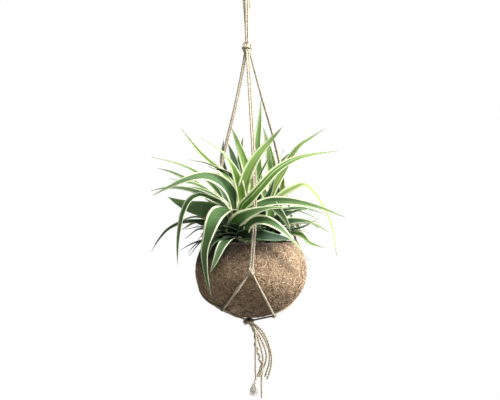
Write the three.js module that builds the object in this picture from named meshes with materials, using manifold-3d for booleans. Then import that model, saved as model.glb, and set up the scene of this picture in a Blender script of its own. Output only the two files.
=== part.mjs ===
// Hanging kokedama: a variegated spider plant in a ball-shaped coir pot, carried in a knotted jute hanger.
// Millimetres, +Z up. The origin is the point inside the top of the hanging loop that bears on a hook.
// The viewer stands at -Y, so +X is to the right and +Y is away.
import * as THREE from 'three';
import { mergeVertices } from 'three/addons/utils/BufferGeometryUtils.js';
import Module from 'manifold-3d';

const wasm = await Module();
wasm.setup();

// Driving dimensions
const touchGap = 0.3;             // left between two pieces that touch

const potRadius = 75;             // at the ball's widest line
const potLowerHeight = 62.5;      // from the widest line down to the bottom
const potUpperHeight = 70;        // the half height that the upper part would have as a whole ball
const rimHeight = 40;             // the rim's top above the widest line
const potWall = 8;
const potMiddle = new THREE.Vector3(5.5, 0, -410.5);
const turnedSides = 30;

const soilDrop = 8;               // the soil's surface below the rim's top
const rootstockHole = { radius: 42, depth: 18 };
const rootstockHalfHeight = 9;

const twineRadius = 1.3;
const twineSpacing = 2.95;        // between the middles of two twines side by side
const hookRadius = 5;
const loopFoot = -97.2;           // where the loop's twines go into the top knot

const crownRadius = 8;
const bladeKeel = 1.8;             // how deep a leaf's middle rib stands below its upper face
const leafSteps = { mostInView: 7, byRule: 3 };

const coir = material('#b08f68', 0.95);
const soil = material('#33271d', 1);
const leafGreen = material('#6f9a45', 0.5);
const jute = material('#cdbf9f', 0.9);

function material(color, roughness) {
  return new THREE.MeshStandardMaterial({ color, roughness, metalness: 0 });
}

// One closed solid made from a closed geometry, for joining and cutting.
function solidOf(geometry) {
  const bare = geometry.clone();
  bare.deleteAttribute('normal');
  bare.deleteAttribute('uv');
  const merged = mergeVertices(bare, 1e-4);
  return new wasm.Manifold(new wasm.Mesh({
    numProp: 3,
    vertProperties: new Float32Array(merged.attributes.position.array),
    triVerts: new Uint32Array(merged.index.array),
  }));
}

function geometryOf(solid) {
  const mesh = solid.getMesh();
  const geometry = new THREE.BufferGeometry();
  geometry.setAttribute('position', new THREE.BufferAttribute(mesh.vertProperties, mesh.numProp));
  geometry.setIndex(new THREE.BufferAttribute(mesh.triVerts, 1));
  geometry.computeVertexNormals();
  return geometry;
}

// Joins solids that grow or are tied into each other. Hollows that the joining seals are filled: each is
// a shell of its own inside the outer one, which holds the most.
function joined(geometries) {
  const whole = geometries.map(solidOf).reduce((sum, solid) => sum.add(solid));
  const shells = whole.decompose();
  return geometryOf(shells.reduce((most, shell) => (shell.volume() > most.volume() ? shell : most)));
}

function named(name, geometry, finish) {
  const mesh = new THREE.Mesh(geometry, finish);
  mesh.name = name;
  return mesh;
}

const point = (x, y, z) => new THREE.Vector3(x, y, z);
const radians = THREE.MathUtils.degToRad;

// A turned solid about the Z axis, from [radius, height] pairs that run from the bottom up.
function turned(profile, sides = turnedSides) {
  const points = profile.map(([radius, height]) => new THREE.Vector2(radius, height));
  const geometry = new THREE.LatheGeometry(points, sides);
  geometry.rotateX(Math.PI / 2);
  return geometry;
}

// Coir pot

// The radius of the pot's surface at a height above its widest line, taken in by an inset.
function potRadiusAt(height, inset = 0) {
  const reach = (height < 0 ? potLowerHeight : potUpperHeight) - inset;
  return (potRadius - inset) * Math.sqrt(Math.max(0, 1 - (height / reach) ** 2));
}

// The ball's profile from its bottom pole up to a height, as [radius, height] pairs.
function ballProfile(top, inset, lowerSteps) {
  const profile = [];
  const upperSteps = 3;
  for (let step = 0; step <= lowerSteps; step += 1) {
    const angle = (1 - step / lowerSteps) * Math.PI / 2;
    const radius = step === 0 ? 0 : (potRadius - inset) * Math.cos(angle);
    profile.push([radius, -(potLowerHeight - inset) * Math.sin(angle)]);
  }
  for (let step = 1; step <= upperSteps; step += 1) {
    const height = top * step / upperSteps;
    profile.push([potRadiusAt(height, inset), height]);
  }
  return profile;
}

function coirPot() {
  const lip = potWall / 2;
  const outside = ballProfile(rimHeight - lip, 0, 7);
  const inside = ballProfile(rimHeight - lip, potWall, 5).reverse();
  const middle = potRadiusAt(rimHeight - lip) - lip;
  const rim = [45, 90, 135].map((degrees) => {
    const angle = radians(degrees);
    return [middle + lip * Math.cos(angle), rimHeight - lip + lip * Math.sin(angle)];
  });
  return turned([...outside, ...rim, ...inside]);
}

// Potting soil, with a plain round hole for the rootstock
function pottingSoil() {
  const top = rimHeight - soilDrop;
  const filled = turned([...ballProfile(top, potWall + 2 * touchGap, 5), [0, top + 2]]);
  const { radius, depth } = rootstockHole;
  const hole = new THREE.CylinderGeometry(radius, radius, 2 * depth, 24);
  hole.rotateX(Math.PI / 2);
  hole.translate(0, 0, top);
  return geometryOf(solidOf(filled).subtract(solidOf(hole)));
}

// Spider plant. Its own frame has its origin at the middle of the rim's top.

const crowns = {
  front: [-12, -27],
  right: [24, 8],
  left: [-28, 10],
  back: [4, 32],
  middle: [-1, 3],
};

// Each leaf: its crown, its width, how far it is turned at evenly spaced points from the root to the tip, and
// the places that its middle passes after the root. At 0 degrees its broad face is to the viewer, at 90 it
// lies face up, and past that it shows its underside.
const leavesInView = [
  // The front crown: the long arches, and the leaves that bend over the rim to the viewer
  ['front', 13, [5, 5, 10, 70, 85], [-11, -39, 46], [-13, -47, 66], [-18, -53, 86], [-26, -57, 104],
    [-39, -62, 121], [-66, -72, 138]],
  ['front', 17, [5, 5, 10], [-5, -22, 53], [-1, -20, 73], [-4, -20, 93], [-11, -22, 115], [-20, -24, 139],
    [-27, -24, 156]],
  ['front', 18, [-15, -28, -20], [-12, -34, 50], [-10, -45, 72], [-4, -55, 94], [8, -60, 115],
    [25, -60, 135], [42, -64, 154]],
  ['front', 14, [5, 25, 55], [-13, -46, 44], [-1, -68, 59], [14, -71, 76], [35, -69, 98], [63, -64, 113],
    [115, -52, 122]],
  ['left', 20, [5, 5, 15, 55, 60], [-26, -26, 14], [-20, -48, 28], [-9, -68, 36], [8, -79, 43],
    [27, -85, 47], [49, -86, 46]],
  ['front', 13, [40, 20, 5, 65, 85], [-7, -48, 14], [-3, -66, 25], [6, -75, 31], [21, -79, 30],
    [36, -77, 22], [52, -72, 7], [76, -62, -23]],
  ['front', 13, [100, 90, 20, 10, 10], [-23, -40, 6], [-32, -55, 4], [-39, -66, -4], [-47, -73, -23],
    [-54, -75, -39]],
  ['front', 16, [10, 10, 20], [-15, -44, 9], [0, -54, 12], [18, -56, 10], [37, -50, 7], [55, -40, 4]],
  ['front', 19, [10, 35, 60], [-20, -38, 49], [-25, -45, 65], [-37, -53, 80], [-59, -61, 89],
    [-85, -68, 84], [-109, -72, 73], [-128, -74, 63]],
  ['front', 21.5, [175, 150, 10, 50, 54, 60], [-20, -28, 18], [-19, -31, 34], [-24, -38, 44],
    [-35, -48, 45], [-45, -57, 39], [-52, -65, 25], [-56, -69, 11], [-61, -71, -11], [-59, -69, -40],
    [-52, -64, -71]],
  ['front', 13, [15, 20, 40], [-11, -34, 37], [3, -38, 46], [20, -38, 54], [44, -40, 56], [68, -42, 53],
    [94, -44, 46], [125, -46, 34]],
  ['front', 11, [40, 40, 50], [-34, -30, 48], [-51, -36, 58], [-69, -40, 67], [-93, -44, 73],
    [-114, -48, 73], [-133, -50, 69]],
  ['front', 10, [50, 45, 0], [-35, -34, 49], [-51, -46, 58], [-68, -54, 64], [-81, -58, 58],
    [-90, -60, 41], [-95, -60, 17], [-97, -60, -6], [-97, -60, -29]],
  // The right crown: upright leaves and the ones that spread over the right of the rim
  ['right', 12, [15, 15, 55], [26, 4, 61], [34, 2, 80], [45, 2, 99], [55, 2, 117], [66, 3, 131],
    [82, 4, 142], [102, 6, 155]],
  ['right', 12, [40, 30, 20], [26, 4, 46], [42, 2, 64], [57, -2, 73], [72, -6, 78], [85, -8, 68],
    [96, -10, 51], [106, -10, 30], [113, -10, 7], [116, -10, -19]],
  ['right', 13, [30, 35, 65], [34, -6, 22], [51, -10, 28], [66, -14, 29], [80, -18, 27], [92, -20, 18]],
  ['right', 6, [40, 60, 60], [37, -2, 15], [54, -4, 17], [69, -8, 20], [80, -10, 25], [89, -10, 31]],
  ['right', 9, [20, 15, 30], [38, 8, 14], [55, 12, 13], [69, 14, 9], [81, 18, -2], [101, 20, -9]],
  ['right', 9, [40, 50, 60], [30, 12, 32], [45, 14, 43], [61, 16, 46], [77, 20, 45], [100, 26, 38]],
  ['right', 6, [50, 60, 60], [40, 16, 12], [55, 18, 15], [69, 20, 15], [80, 22, 11]],
  ['right', 15, [10, 10, 10], [15, 18, 57], [11, 20, 84], [9, 22, 112], [9, 26, 136], [12, 30, 166],
    [14, 36, 199]],
  ['right', 19, [10, 10, 10], [30, 20, 60], [30, 22, 83], [28, 24, 107], [24, 27, 130], [17, 32, 158]],
  ['right', 7, [30, 30, 30], [8, 12, 68], [12, 10, 90], [21, 8, 108], [33, 4, 124]],
  ['right', 14, [10, 15, 20], [26, 34, 67], [32, 40, 92], [43, 44, 111], [57, 46, 125]],
  ['right', 12, [10, 10, 20], [15, -2, 38], [19, -6, 54], [26, -8, 69], [32, -8, 87]],
  ['right', 11, [10, 10, 20], [34, 6, 35], [37, 6, 53], [38, 6, 66], [37, 6, 79]],
  ['right', 14, [10, 10, 20], [34, 15, 40], [40, 17, 58], [43, 18, 75], [45, 18, 97]],
  ['right', 4, [50, 50, 50], [29, 30, 79], [36, 26, 105], [46, 20, 127]],
  // The left crown: the fan to the left, in front of the left leg and behind it
  ['left', 11, [20, 20, 20], [-21, 4, 60], [-27, 10, 80], [-41, 14, 97], [-58, 18, 111], [-75, 22, 128],
    [-97, 28, 157]],
  ['left', 9, [35, 40, 60], [-33, -4, 54], [-46, -8, 70], [-62, -14, 86], [-78, -18, 97], [-102, -26, 107],
    [-133, -32, 114]],
  ['left', 9, [30, 30, 20], [-37, 4, 50], [-55, 8, 66], [-74, 10, 80], [-95, 12, 89], [-111, 16, 96],
    [-130, 20, 101]],
  ['left', 9, [120, 120, 110], [-20, -8, 73], [-26, -12, 91], [-45, -16, 100], [-61, -18, 107],
    [-84, -20, 111]],
  ['left', 10, [30, 40, 50], [-34, -8, 46], [-50, -14, 62], [-65, -18, 74], [-80, -22, 80], [-94, -24, 82],
    [-110, -26, 86]],
  ['left', 12, [30, 35, 40], [-31, -18, 45], [-43, -26, 57], [-58, -30, 67], [-72, -32, 72],
    [-90, -34, 75]],
  ['left', 25, [168, 172, 175], [-30, -10, 27], [-43, -14, 38], [-62, -20, 44], [-82, -22, 48],
    [-98, -24, 54], [-112, -24, 61]],
  ['left', 8, [45, 45, 45], [-38, 3, 19], [-53, 4, 26], [-68, 4, 28], [-92, 6, 27], [-114, 12, 17],
    [-128, 16, 1], [-137, 20, -14]],
  ['left', 4, [70, 70, 70], [-40, 20, 7], [-57, 22, 17], [-70, 23, 20], [-91, 22, 16]],
  ['left', 4, [50, 50, 50], [-50, 14, 6], [-66, 14, 2], [-81, 13, -3], [-97, 12, -12]],
  ['left', 4, [50, 50, 50], [-51, 6, 5], [-66, 5, 2], [-77, 4, -5], [-86, 4, -16]],
  ['left', 3.5, [50, 50, 50], [-52, 10, 5], [-65, 12, 2.5], [-74, 11, -6], [-85, 10, -20]],
  ['left', 16, [10, 10, 10], [-18, 26, 71], [-17, 28, 96], [-15, 34, 118], [-11, 40, 146]],
  ['left', 20, [10, 10, 10], [-20, 18, 68], [-21, 18, 93], [-24, 21, 113], [-32, 23, 136]],
  ['left', 13, [10, 10, 10], [-29, 26, 68], [-35, 30, 90], [-40, 34, 112], [-38, 38, 142]],
  ['left', 14, [20, 20, 20], [-33, -2, 41], [-45, -6, 51], [-57, -8, 57], [-66, -10, 62]],
  ['left', 15, [25, 25, 25], [-27, -16, 47], [-34, -19, 62], [-42, -22, 74], [-58, -26, 86]],
  // The leaves behind those, mostly in their shade
  ['middle', 16, [10, 10, 10], [0, 6, 46], [-1, 6, 66], [-3, 8, 84], [-6, 12, 108]],
  ['right', 14, [10, 10, 10], [26, -6, 51], [19, -6, 65], [12, -4, 79], [5, 0, 94]],
  ['front', 15, [0, 10, 10], [-24, -18, 14], [-32, -18, 27], [-38, -20, 41], [-36, -22, 56]],
  ['front', 16, [10, 10, 10], [-14, -14, 14], [-11, -10, 30], [-5, -8, 46], [4, -8, 61]],
  ['left', 13, [20, 20, 20], [-37, -6, 8], [-49, -8, 16], [-61, -10, 23], [-75, -12, 26]],
  ['right', 14, [10, 20, 30], [23, -6, 13], [31, -12, 27], [45, -16, 38], [61, -18, 41]],
  ['middle', 14, [10, 10, 10], [0, 2, 13], [3, 2, 32], [8, 2, 53], [15, 0, 71]],
  ['front', 15, [30, 20, 10, 0, 0], [-1, -30, 31], [12, -32, 50], [25, -34, 52], [36, -46, 43],
    [43, -56, 34], [48, -63, 25], [52, -66, 14]],
  ['left', 12, [30, 30, 30], [-30, -10, 46], [-43, -12, 58], [-58, -14, 70], [-73, -16, 79]],
  ['left', 10, [25, 25, 25], [-26, -8, 54], [-34, -8, 68], [-45, -8, 80], [-56, -6, 90]],
];

// The other leaves follow a rule: they arch away from the back of each crown, and lean short over the rim.
// Directions are in degrees from +X, and each pair is the least and the most.
const leavesByRule = [
  { crown: 'back', count: 7, direction: [62, 118], length: [100, 150], rise: [55, 78], bend: [80, 150] },
  { crown: 'right', count: 4, direction: [54, 82], length: [95, 140], rise: [50, 75], bend: [80, 150] },
  { crown: 'left', count: 4, direction: [102, 129], length: [95, 140], rise: [50, 75], bend: [80, 150] },
  { crown: 'back', count: 3, direction: [20, 40], length: [90, 130], rise: [50, 70], bend: [80, 130] },
  { crown: 'back', count: 3, direction: [140, 160], length: [90, 130], rise: [50, 70], bend: [80, 130] },
  { crown: 'right', count: 3, direction: [-12, 12], length: [70, 95], rise: [50, 70], bend: [70, 110] },
  { crown: 'left', count: 3, direction: [170, 196], length: [70, 95], rise: [50, 70], bend: [70, 110] },
  { crown: 'back', count: 4, direction: [50, 130], length: [85, 110], rise: [78, 88], bend: [20, 50] },
  { crown: 'front', count: 4, direction: [190, 330], length: [42, 58], rise: [45, 62], bend: [50, 80] },
  { crown: 'left', count: 2, direction: [160, 235], length: [42, 60], rise: [42, 60], bend: [50, 80] },
  { crown: 'right', count: 2, direction: [-65, 15], length: [42, 60], rise: [42, 60], bend: [50, 80] },
];

let draw = 20611;

// A repeatable random number between low and high.
function between(low, high) {
  draw = (draw * 16807) % 2147483647;
  return low + (high - low) * draw / 2147483647;
}

// The places that an arching leaf passes, from its direction, its length and how far it bends over.
function archedPlaces([x, y], direction, length, rise, bend) {
  const places = [];
  const place = point(x, y, 4);
  const steps = 12;
  for (let step = 1; step <= steps; step += 1) {
    const angle = radians(rise - bend * (step / steps) ** 1.2);
    const reach = Math.cos(angle) * length / steps;
    place.x += reach * Math.cos(radians(direction));
    place.y += reach * Math.sin(radians(direction));
    place.z += Math.sin(angle) * length / steps;
    if (step % 4 === 0) {
      places.push([place.x, place.y, place.z]);
    }
  }
  return places;
}

// The share of a leaf's full width at u, from 0 at the root to 1 at the tip.
function bladeShare(u) {
  const widest = 0.38;
  if (u < widest) {
    return 0.4 + 0.6 * Math.sin(u / widest * Math.PI / 2);
  }
  return 1 - ((u - widest) / (1 - widest)) ** 1.9;
}

// The direction across a leaf in view at u, between the turns given for it.
function acrossInView(spine, turns) {
  const heading = Math.sign(spine.getPoint(1).x - spine.getPoint(0).x);
  return (u) => {
    const stretches = turns.length - 1;
    const stretch = Math.min(stretches - 1, Math.floor(u * stretches));
    const turn = THREE.MathUtils.lerp(turns[stretch], turns[stretch + 1], u * stretches - stretch);
    const side = point(0, 0, 0);
    for (const near of [u - 0.12, u, u + 0.12]) {
      side.add(spine.getTangentAt(THREE.MathUtils.clamp(near, 0, 1)).cross(point(0, 1, 0)));
    }
    return side.applyAxisAngle(spine.getTangentAt(u), -heading * radians(turn));
  };
}

// The direction across a leaf that lies face up, leaned to one side.
function acrossLeaning(spine, lean) {
  const away = spine.getPoint(1).sub(spine.getPoint(0));
  const level = point(-away.y, away.x, 0).normalize();
  return (u) => level.clone().applyAxisAngle(spine.getTangentAt(u), Math.sign(away.x) * radians(lean));
}

// One blade: a strap with a keel under its middle, closed across its root and drawn to a point at its tip.
function blade(spine, across, width, bladeSteps) {
  const tip = spine.getPoint(1);
  const positions = [];
  const index = [];
  for (let step = 0; step < bladeSteps; step += 1) {
    const u = step / bladeSteps;
    const middle = spine.getPointAt(u);
    const along = spine.getTangentAt(u);
    const side = across(u);
    side.addScaledVector(along, -along.dot(side)).normalize();
    const face = along.clone().cross(side);
    const half = width * bladeShare(u) / 2;
    const keel = bladeKeel * (1 - 0.5 * u);
    const corners = [
      middle.clone().addScaledVector(side, -half),
      middle.clone().addScaledVector(side, half),
      middle.clone().addScaledVector(face, -keel),
    ];
    corners.forEach((corner) => positions.push(corner.x, corner.y, corner.z));
  }
  positions.push(tip.x, tip.y, tip.z);
  index.push(0, 1, 2);
  for (let step = 0; step < bladeSteps; step += 1) {
    for (let corner = 0; corner < 3; corner += 1) {
      const here = step * 3 + corner;
      const beside = step * 3 + (corner + 1) % 3;
      if (step === bladeSteps - 1) {
        index.push(here, bladeSteps * 3, beside);
      } else {
        index.push(here, here + 3, beside, beside, here + 3, beside + 3);
      }
    }
  }
  const geometry = new THREE.BufferGeometry();
  geometry.setAttribute('position', new THREE.Float32BufferAttribute(positions, 3));
  geometry.setIndex(index);
  return geometry;
}

// A leaf's middle line. Its root stands in its crown, on the side that the leaf goes to, in one of three
// rings by its number.
function leafSpine([x, y], places, number) {
  const direction = point(places[0][0] - x, places[0][1] - y, 0);
  direction.setLength(Math.min(crownRadius * (0.3 + 0.25 * (number % 3)), direction.length()));
  const root = point(x + direction.x, y + direction.y, 1 - 1.5 * (number % 3));
  return new THREE.CatmullRomCurve3([root, ...places.map((place) => point(...place))]);
}

function spiderPlant() {
  const pieces = [];
  const rootstock = new THREE.SphereGeometry(1, 12, 4);
  rootstock.rotateX(Math.PI / 2);
  rootstock.scale(rootstockHole.radius - 3, rootstockHole.radius - 3, rootstockHalfHeight);
  rootstock.translate(0, 0, rootstockHalfHeight + touchGap - soilDrop - rootstockHole.depth);
  pieces.push(rootstock);
  for (const [x, y] of Object.values(crowns)) {
    const crown = turned([[0, -14], [crownRadius, -14], [crownRadius, 0], [crownRadius * 0.6, 9], [0, 9]], 6);
    crown.translate(x, y, 0);
    pieces.push(crown);
  }
  for (const [number, [crown, width, turns, ...places]] of leavesInView.entries()) {
    const spine = leafSpine(crowns[crown], places, number);
    const steps = Math.min(leafSteps.mostInView, places.length + 1);
    pieces.push(blade(spine, acrossInView(spine, turns), width, steps));
  }
  for (const { crown, count, direction: [first, last], length, rise, bend } of leavesByRule) {
    for (let number = 0; number < count; number += 1) {
      const direction = first + (last - first) * (number + 0.5) / count;
      const arch = [between(...length), between(...rise), between(...bend)];
      const places = archedPlaces(crowns[crown], direction, ...arch);
      const spine = leafSpine(crowns[crown], places, number);
      pieces.push(blade(spine, acrossLeaning(spine, between(-25, 25)), between(10, 16.8), leafSteps.byRule));
    }
  }
  return joined(pieces);
}

// Jute twine. A strand is a tube of eight sides along a route.
function strand(places, steps) {
  const section = new THREE.Shape();
  const sides = 8;
  for (let side = 0; side < sides; side += 1) {
    const angle = side / sides * 2 * Math.PI;
    section.lineTo(twineRadius * Math.cos(angle), twineRadius * Math.sin(angle));
  }
  const extrudePath = new THREE.CatmullRomCurve3(places);
  return new THREE.ExtrudeGeometry(section, { steps, extrudePath, bevelEnabled: false });
}

// A knot: a tight core with the turns of twine that lie round it.
function knotSolid({ middle, halves, turns }) {
  const core = new THREE.SphereGeometry(1, 7, 5);
  core.scale(halves[0] * 0.97, halves[1] * 0.97, halves[2] * 0.98);
  const pieces = [core];
  for (const [tilt, heading] of turns) {
    const turn = new THREE.TorusGeometry(0.66, 0.32, 4, 9);
    turn.rotateX(radians(tilt));
    turn.rotateZ(radians(heading));
    turn.scale(...halves);
    pieces.push(turn);
  }
  const geometry = joined(pieces);
  geometry.translate(...middle);
  return geometry;
}

const bearings = { front: 0, right: 120, left: -120 };

// A place round the pot: a bearing in degrees from the front, a radius, and a height above the widest line.
function roundPot(bearing, radius, height) {
  const angle = radians(bearing);
  return point(radius * Math.sin(angle), -radius * Math.cos(angle), height).add(potMiddle);
}

const sideKnot = (bearing) => ({
  middle: roundPot(bearing, potRadius + 5.2, 4).toArray(),
  halves: [5, 4.6, 6],
  turns: [[62, bearing]],
});

const lowerKnot = (bearing, radius, height, heading) => ({
  middle: roundPot(bearing, radius, height).toArray(),
  halves: [3.8, 3.8, 3.4],
  turns: [[70, heading]],
});

const knots = {
  top_knot: { middle: [0, 0, -105], halves: [7.5, 7, 8.2], turns: [[60, 20], [-55, 95]] },
  side_knot_front: sideKnot(bearings.front),
  side_knot_right: sideKnot(bearings.right),
  side_knot_left: sideKnot(bearings.left),
  lower_knot_left: lowerKnot(-45, 53.3, -49.3, 30),
  lower_knot_right: lowerKnot(60, 36, -59.5, -30),
  lower_knot_back: lowerKnot(180, 41, -57.5, 90),
  bottom_knot: { middle: [2, 0, -478.8], halves: [8, 7.5, 5.3], turns: [[50, 10], [-50, 80]] },
};

// Keeps the stretch of a route that lies outside the knots at its two ends.
function betweenKnots(places, first, last) {
  const route = new THREE.CatmullRomCurve3(places);
  const samples = 400;
  const clear = (place, { middle, halves }) => {
    const offset = place.clone().sub(point(...middle));
    return offset.divide(point(...halves).addScalar(touchGap)).length() > 1;
  };
  const kept = [];
  for (let sample = 0; sample <= samples; sample += 1) {
    const place = route.getPointAt(sample / samples);
    if ((!first || clear(place, first)) && (!last || clear(place, last))) {
      kept.push(place);
    }
  }
  const shares = [...Array(13).keys()].map((share) => Math.round(share / 12 * (kept.length - 1)));
  return shares.map((share) => kept[share]);
}

// The hanging loop: three twines side by side over the hook, whose legs draw together into the top knot.
// Each level gives a height, the inner twines' distance from the middle, and how far in degrees the three
// have closed from a row into a triangle.
const loopLevels = [
  [-5, 6.3, 0],
  [-22, 4.2, 35],
  [-41, 2, 60],
  [-60, 1.48, 35],
  [-80, 1.48, 5],
  [loopFoot, 1.48, 0],
];

function loopStrand(row) {
  const leg = (side) => loopLevels.map(([height, inner, closing]) => {
    const angle = radians(closing);
    const outward = row === 0 ? twineSpacing * Math.sin(angle) : 0;
    return point(side * (inner + outward), row * twineSpacing * Math.cos(angle), height);
  });
  const over = [150, 120, 90, 60, 30].map((degrees) => {
    const bend = hookRadius + twineRadius;
    const angle = radians(degrees);
    return point(bend * Math.cos(angle), row * twineSpacing, bend * Math.sin(angle) - hookRadius);
  });
  return strand([...leg(-1).reverse(), ...over, ...leg(1)], 22);
}

// The legs' middle lines, bowed a little by the leaves that press on them, and the direction in degrees
// that the two twines of each lie in at the top and at the bottom.
const legs = {
  front: { turn: [25, 0], route: [[0.5, -3, -108], [4, -14, -163], [10, -47, -283], [10, -65, -343]] },
  left: {
    turn: [60, 35],
    route: [[-1.5, 3, -108], [-5.2, 5.5, -131], [-15.5, 9, -183], [-31, 18.5, -247], [-48, 29, -330]],
  },
  right: { turn: [-85, -55], route: [[3, 2, -108], [20.5, 8, -173], [36, 16, -226], [61, 30, -334]] },
};

function legStrand(name, side) {
  const { turn, route } = legs[name];
  const knot = knots[`side_knot_${name}`];
  const ends = [...route, knot.middle];
  const places = ends.map(([x, y, z], number) => {
    const angle = radians(turn[0] + (turn[1] - turn[0]) * number / (ends.length - 1));
    const offset = side * twineSpacing / 2;
    return point(x + offset * Math.cos(angle), y + offset * Math.sin(angle), z);
  });
  return strand(betweenKnots(places, knots.top_knot, knot), 7);
}

// A net strand goes straight from knot to knot, pushed out to the pot's surface where the pot is in the way.
// Where two run side by side, each lies half a spacing to its own side.
function netStrand(first, last, steps, side = 0) {
  const clearance = twineRadius + 2 * touchGap;
  const aside = point(last.middle[1] - first.middle[1], first.middle[0] - last.middle[0], 0);
  aside.setLength(side * twineSpacing / 2);
  const start = point(...first.middle).add(aside);
  const end = point(...last.middle).add(aside);
  const places = [...Array(11).keys()].map((number) => {
    const place = start.clone().lerp(end, number / 10).sub(potMiddle);
    const share = Math.hypot(place.x / (potRadius + clearance), place.y / (potRadius + clearance),
      place.z / (potLowerHeight + clearance));
    return place.divideScalar(Math.min(1, share)).add(potMiddle);
  });
  return strand(betweenKnots(places, first, last), steps);
}

// The loose ends below the bottom knot
const tassel = [
  [[7, 0, -481], [20.5, -1, -492], [28, -2, -506], [32.5, -2, -521], [33.8, -2, -530], [32.7, -2, -540],
    [30.7, -1, -549], [27.3, 0, -558]],
  [[4, -4, -483], [10.2, -6, -491], [11.6, -7, -504], [11.6, -7, -525], [11.6, -7, -543], [12, -6, -556],
    [8.5, -5, -577]],
  [[5, 2, -483], [10.5, 4, -497], [12.3, 4, -514], [15, 3, -523], [17, 3, -530], [19.4, 2, -540],
    [17, 2, -547], [14.3, 2, -555]],
  [[6, -2, -483], [13.6, -3, -498], [17.7, -4, -511], [20.7, -5, -522], [21.8, -5, -530], [21.1, -5, -539],
    [19.8, -5, -547], [17, -5, -554]],
  [[7, 3.6, -482], [20.5, 5.2, -498], [27.3, 5, -511], [30.7, 4, -522], [31.1, 4, -529], [30, 3, -539],
    [27.3, 3, -547], [24.6, 3, -555]],
  [[4, 5, -483], [15.5, 9, -498], [23, 10, -513], [26.6, 9, -525], [26.6, 9, -530], [25.2, 9, -537],
    [21.8, 8, -547], [20.2, 8, -555], [20.2, 7, -585]],
];

const hangers = new THREE.Group();
for (const [name, knot] of Object.entries(knots)) {
  hangers.add(named(name, knotSolid(knot), jute));
}
[-1, 0, 1].forEach((row, number) => {
  hangers.add(named(`loop_strand_${number + 1}`, loopStrand(row), jute));
});
for (const name of Object.keys(legs)) {
  hangers.add(named(`leg_strand_${name}_1`, legStrand(name, -1), jute));
  hangers.add(named(`leg_strand_${name}_2`, legStrand(name, 1), jute));
}
const neighbours = { front: ['left', 'right'], right: ['right', 'back'], left: ['left', 'back'] };
for (const [side, lowers] of Object.entries(neighbours)) {
  for (const lower of lowers) {
    const upperStrand = netStrand(knots[`side_knot_${side}`], knots[`lower_knot_${lower}`], 6);
    hangers.add(named(`net_strand_${side}_to_${lower}`, upperStrand, jute));
  }
}
for (const lower of ['left', 'right', 'back']) {
  for (const side of [-1, 1]) {
    const lowerStrand = netStrand(knots[`lower_knot_${lower}`], knots.bottom_knot, 4, side);
    hangers.add(named(`under_strand_${lower}_${side < 0 ? 1 : 2}`, lowerStrand, jute));
  }
}
tassel.forEach((route, number) => {
  const places = betweenKnots(route.map((place) => point(...place)), knots.bottom_knot, null);
  hangers.add(named(`tassel_strand_${number + 1}`, strand(places, 10), jute));
});

const planter = new THREE.Group();
planter.position.copy(potMiddle);
planter.add(named('coir_pot', coirPot(), coir));
planter.add(named('potting_soil', pottingSoil(), soil));
const plant = named('spider_plant', spiderPlant(), leafGreen);
plant.position.z = rimHeight;
planter.add(plant);

const group = new THREE.Group();
group.add(hangers, planter);

export default group;
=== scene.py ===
# Hanging kokedama: a variegated spider plant in a ball-shaped coir pot, in a knotted jute hanger.
# Blender 4.5. Metres, +Z up, and millimetres where it is said. The origin is the point inside the
# hanging loop that bears on a hook.
import math
import random

import bpy
from mathutils import Euler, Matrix, Quaternion, Vector, noise


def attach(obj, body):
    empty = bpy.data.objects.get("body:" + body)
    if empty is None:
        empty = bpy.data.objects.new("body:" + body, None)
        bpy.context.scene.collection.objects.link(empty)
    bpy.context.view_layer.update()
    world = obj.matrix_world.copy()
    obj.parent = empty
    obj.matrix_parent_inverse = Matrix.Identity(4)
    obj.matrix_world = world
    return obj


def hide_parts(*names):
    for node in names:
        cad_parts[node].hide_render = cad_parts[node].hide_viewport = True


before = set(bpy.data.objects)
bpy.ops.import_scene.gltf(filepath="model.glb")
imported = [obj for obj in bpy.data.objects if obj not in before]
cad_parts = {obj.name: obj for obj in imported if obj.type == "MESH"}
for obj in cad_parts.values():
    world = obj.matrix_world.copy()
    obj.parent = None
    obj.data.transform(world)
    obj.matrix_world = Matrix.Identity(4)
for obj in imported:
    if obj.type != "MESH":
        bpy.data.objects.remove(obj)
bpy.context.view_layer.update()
scene = bpy.context.scene

# Camera: level, 1.8 m in front of the planter and about 6 cm higher than the pot's rim.
camera_data = bpy.data.cameras.new("camera")
camera_data.lens = 95
camera_data.sensor_width = 36
camera = bpy.data.objects.new("camera", camera_data)
camera.location = (0.0041, -1.8, -0.3136)
camera.rotation_euler = (math.radians(90), 0, 0)
scene.collection.objects.link(camera)
scene.camera = camera

# Tassel: the six loose ends below the bottom knot. The real ones are jute twine, two plies spun from
# retted bast fibre and twisted together, cut off and left to fray.


def paint(code):
    """A colour as Blender wants it, from its sRGB hex code."""
    shares = [int(code[start:start + 2], 16) / 255 for start in (1, 3, 5)]
    return [*(s / 12.92 if s <= 0.04045 else ((s + 0.055) / 1.055) ** 2.4 for s in shares), 1]


def add_node(tree, kind, inputs, stops=(), **settings):
    """Adds a shader node of a kind, or takes the one of that name that a new tree has.

    Each input gets a value, an output, or a node, whose first output in use is meant. Stops are the
    places and colours of a ramp.
    """
    node = tree.nodes.get(kind) or tree.nodes.new(kind)
    for name, value in settings.items():
        setattr(node, name, value)
    for name, value in inputs.items():
        if isinstance(value, bpy.types.Node):
            value = next(output for output in value.outputs if output.enabled)
        if isinstance(value, bpy.types.NodeSocket):
            tree.links.new(value, node.inputs[name])
        else:
            node.inputs[name].default_value = value
    for number, (place, code) in enumerate(stops):
        if number > 1:
            node.color_ramp.elements.new(place)
        node.color_ramp.elements[number].position = place
        node.color_ramp.elements[number].color = paint(code)
    return node


def new_material(name):
    """A material and its node tree, with the standard shader in it."""
    material = bpy.data.materials.new(name)
    material.use_nodes = True
    return material, material.node_tree


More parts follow.
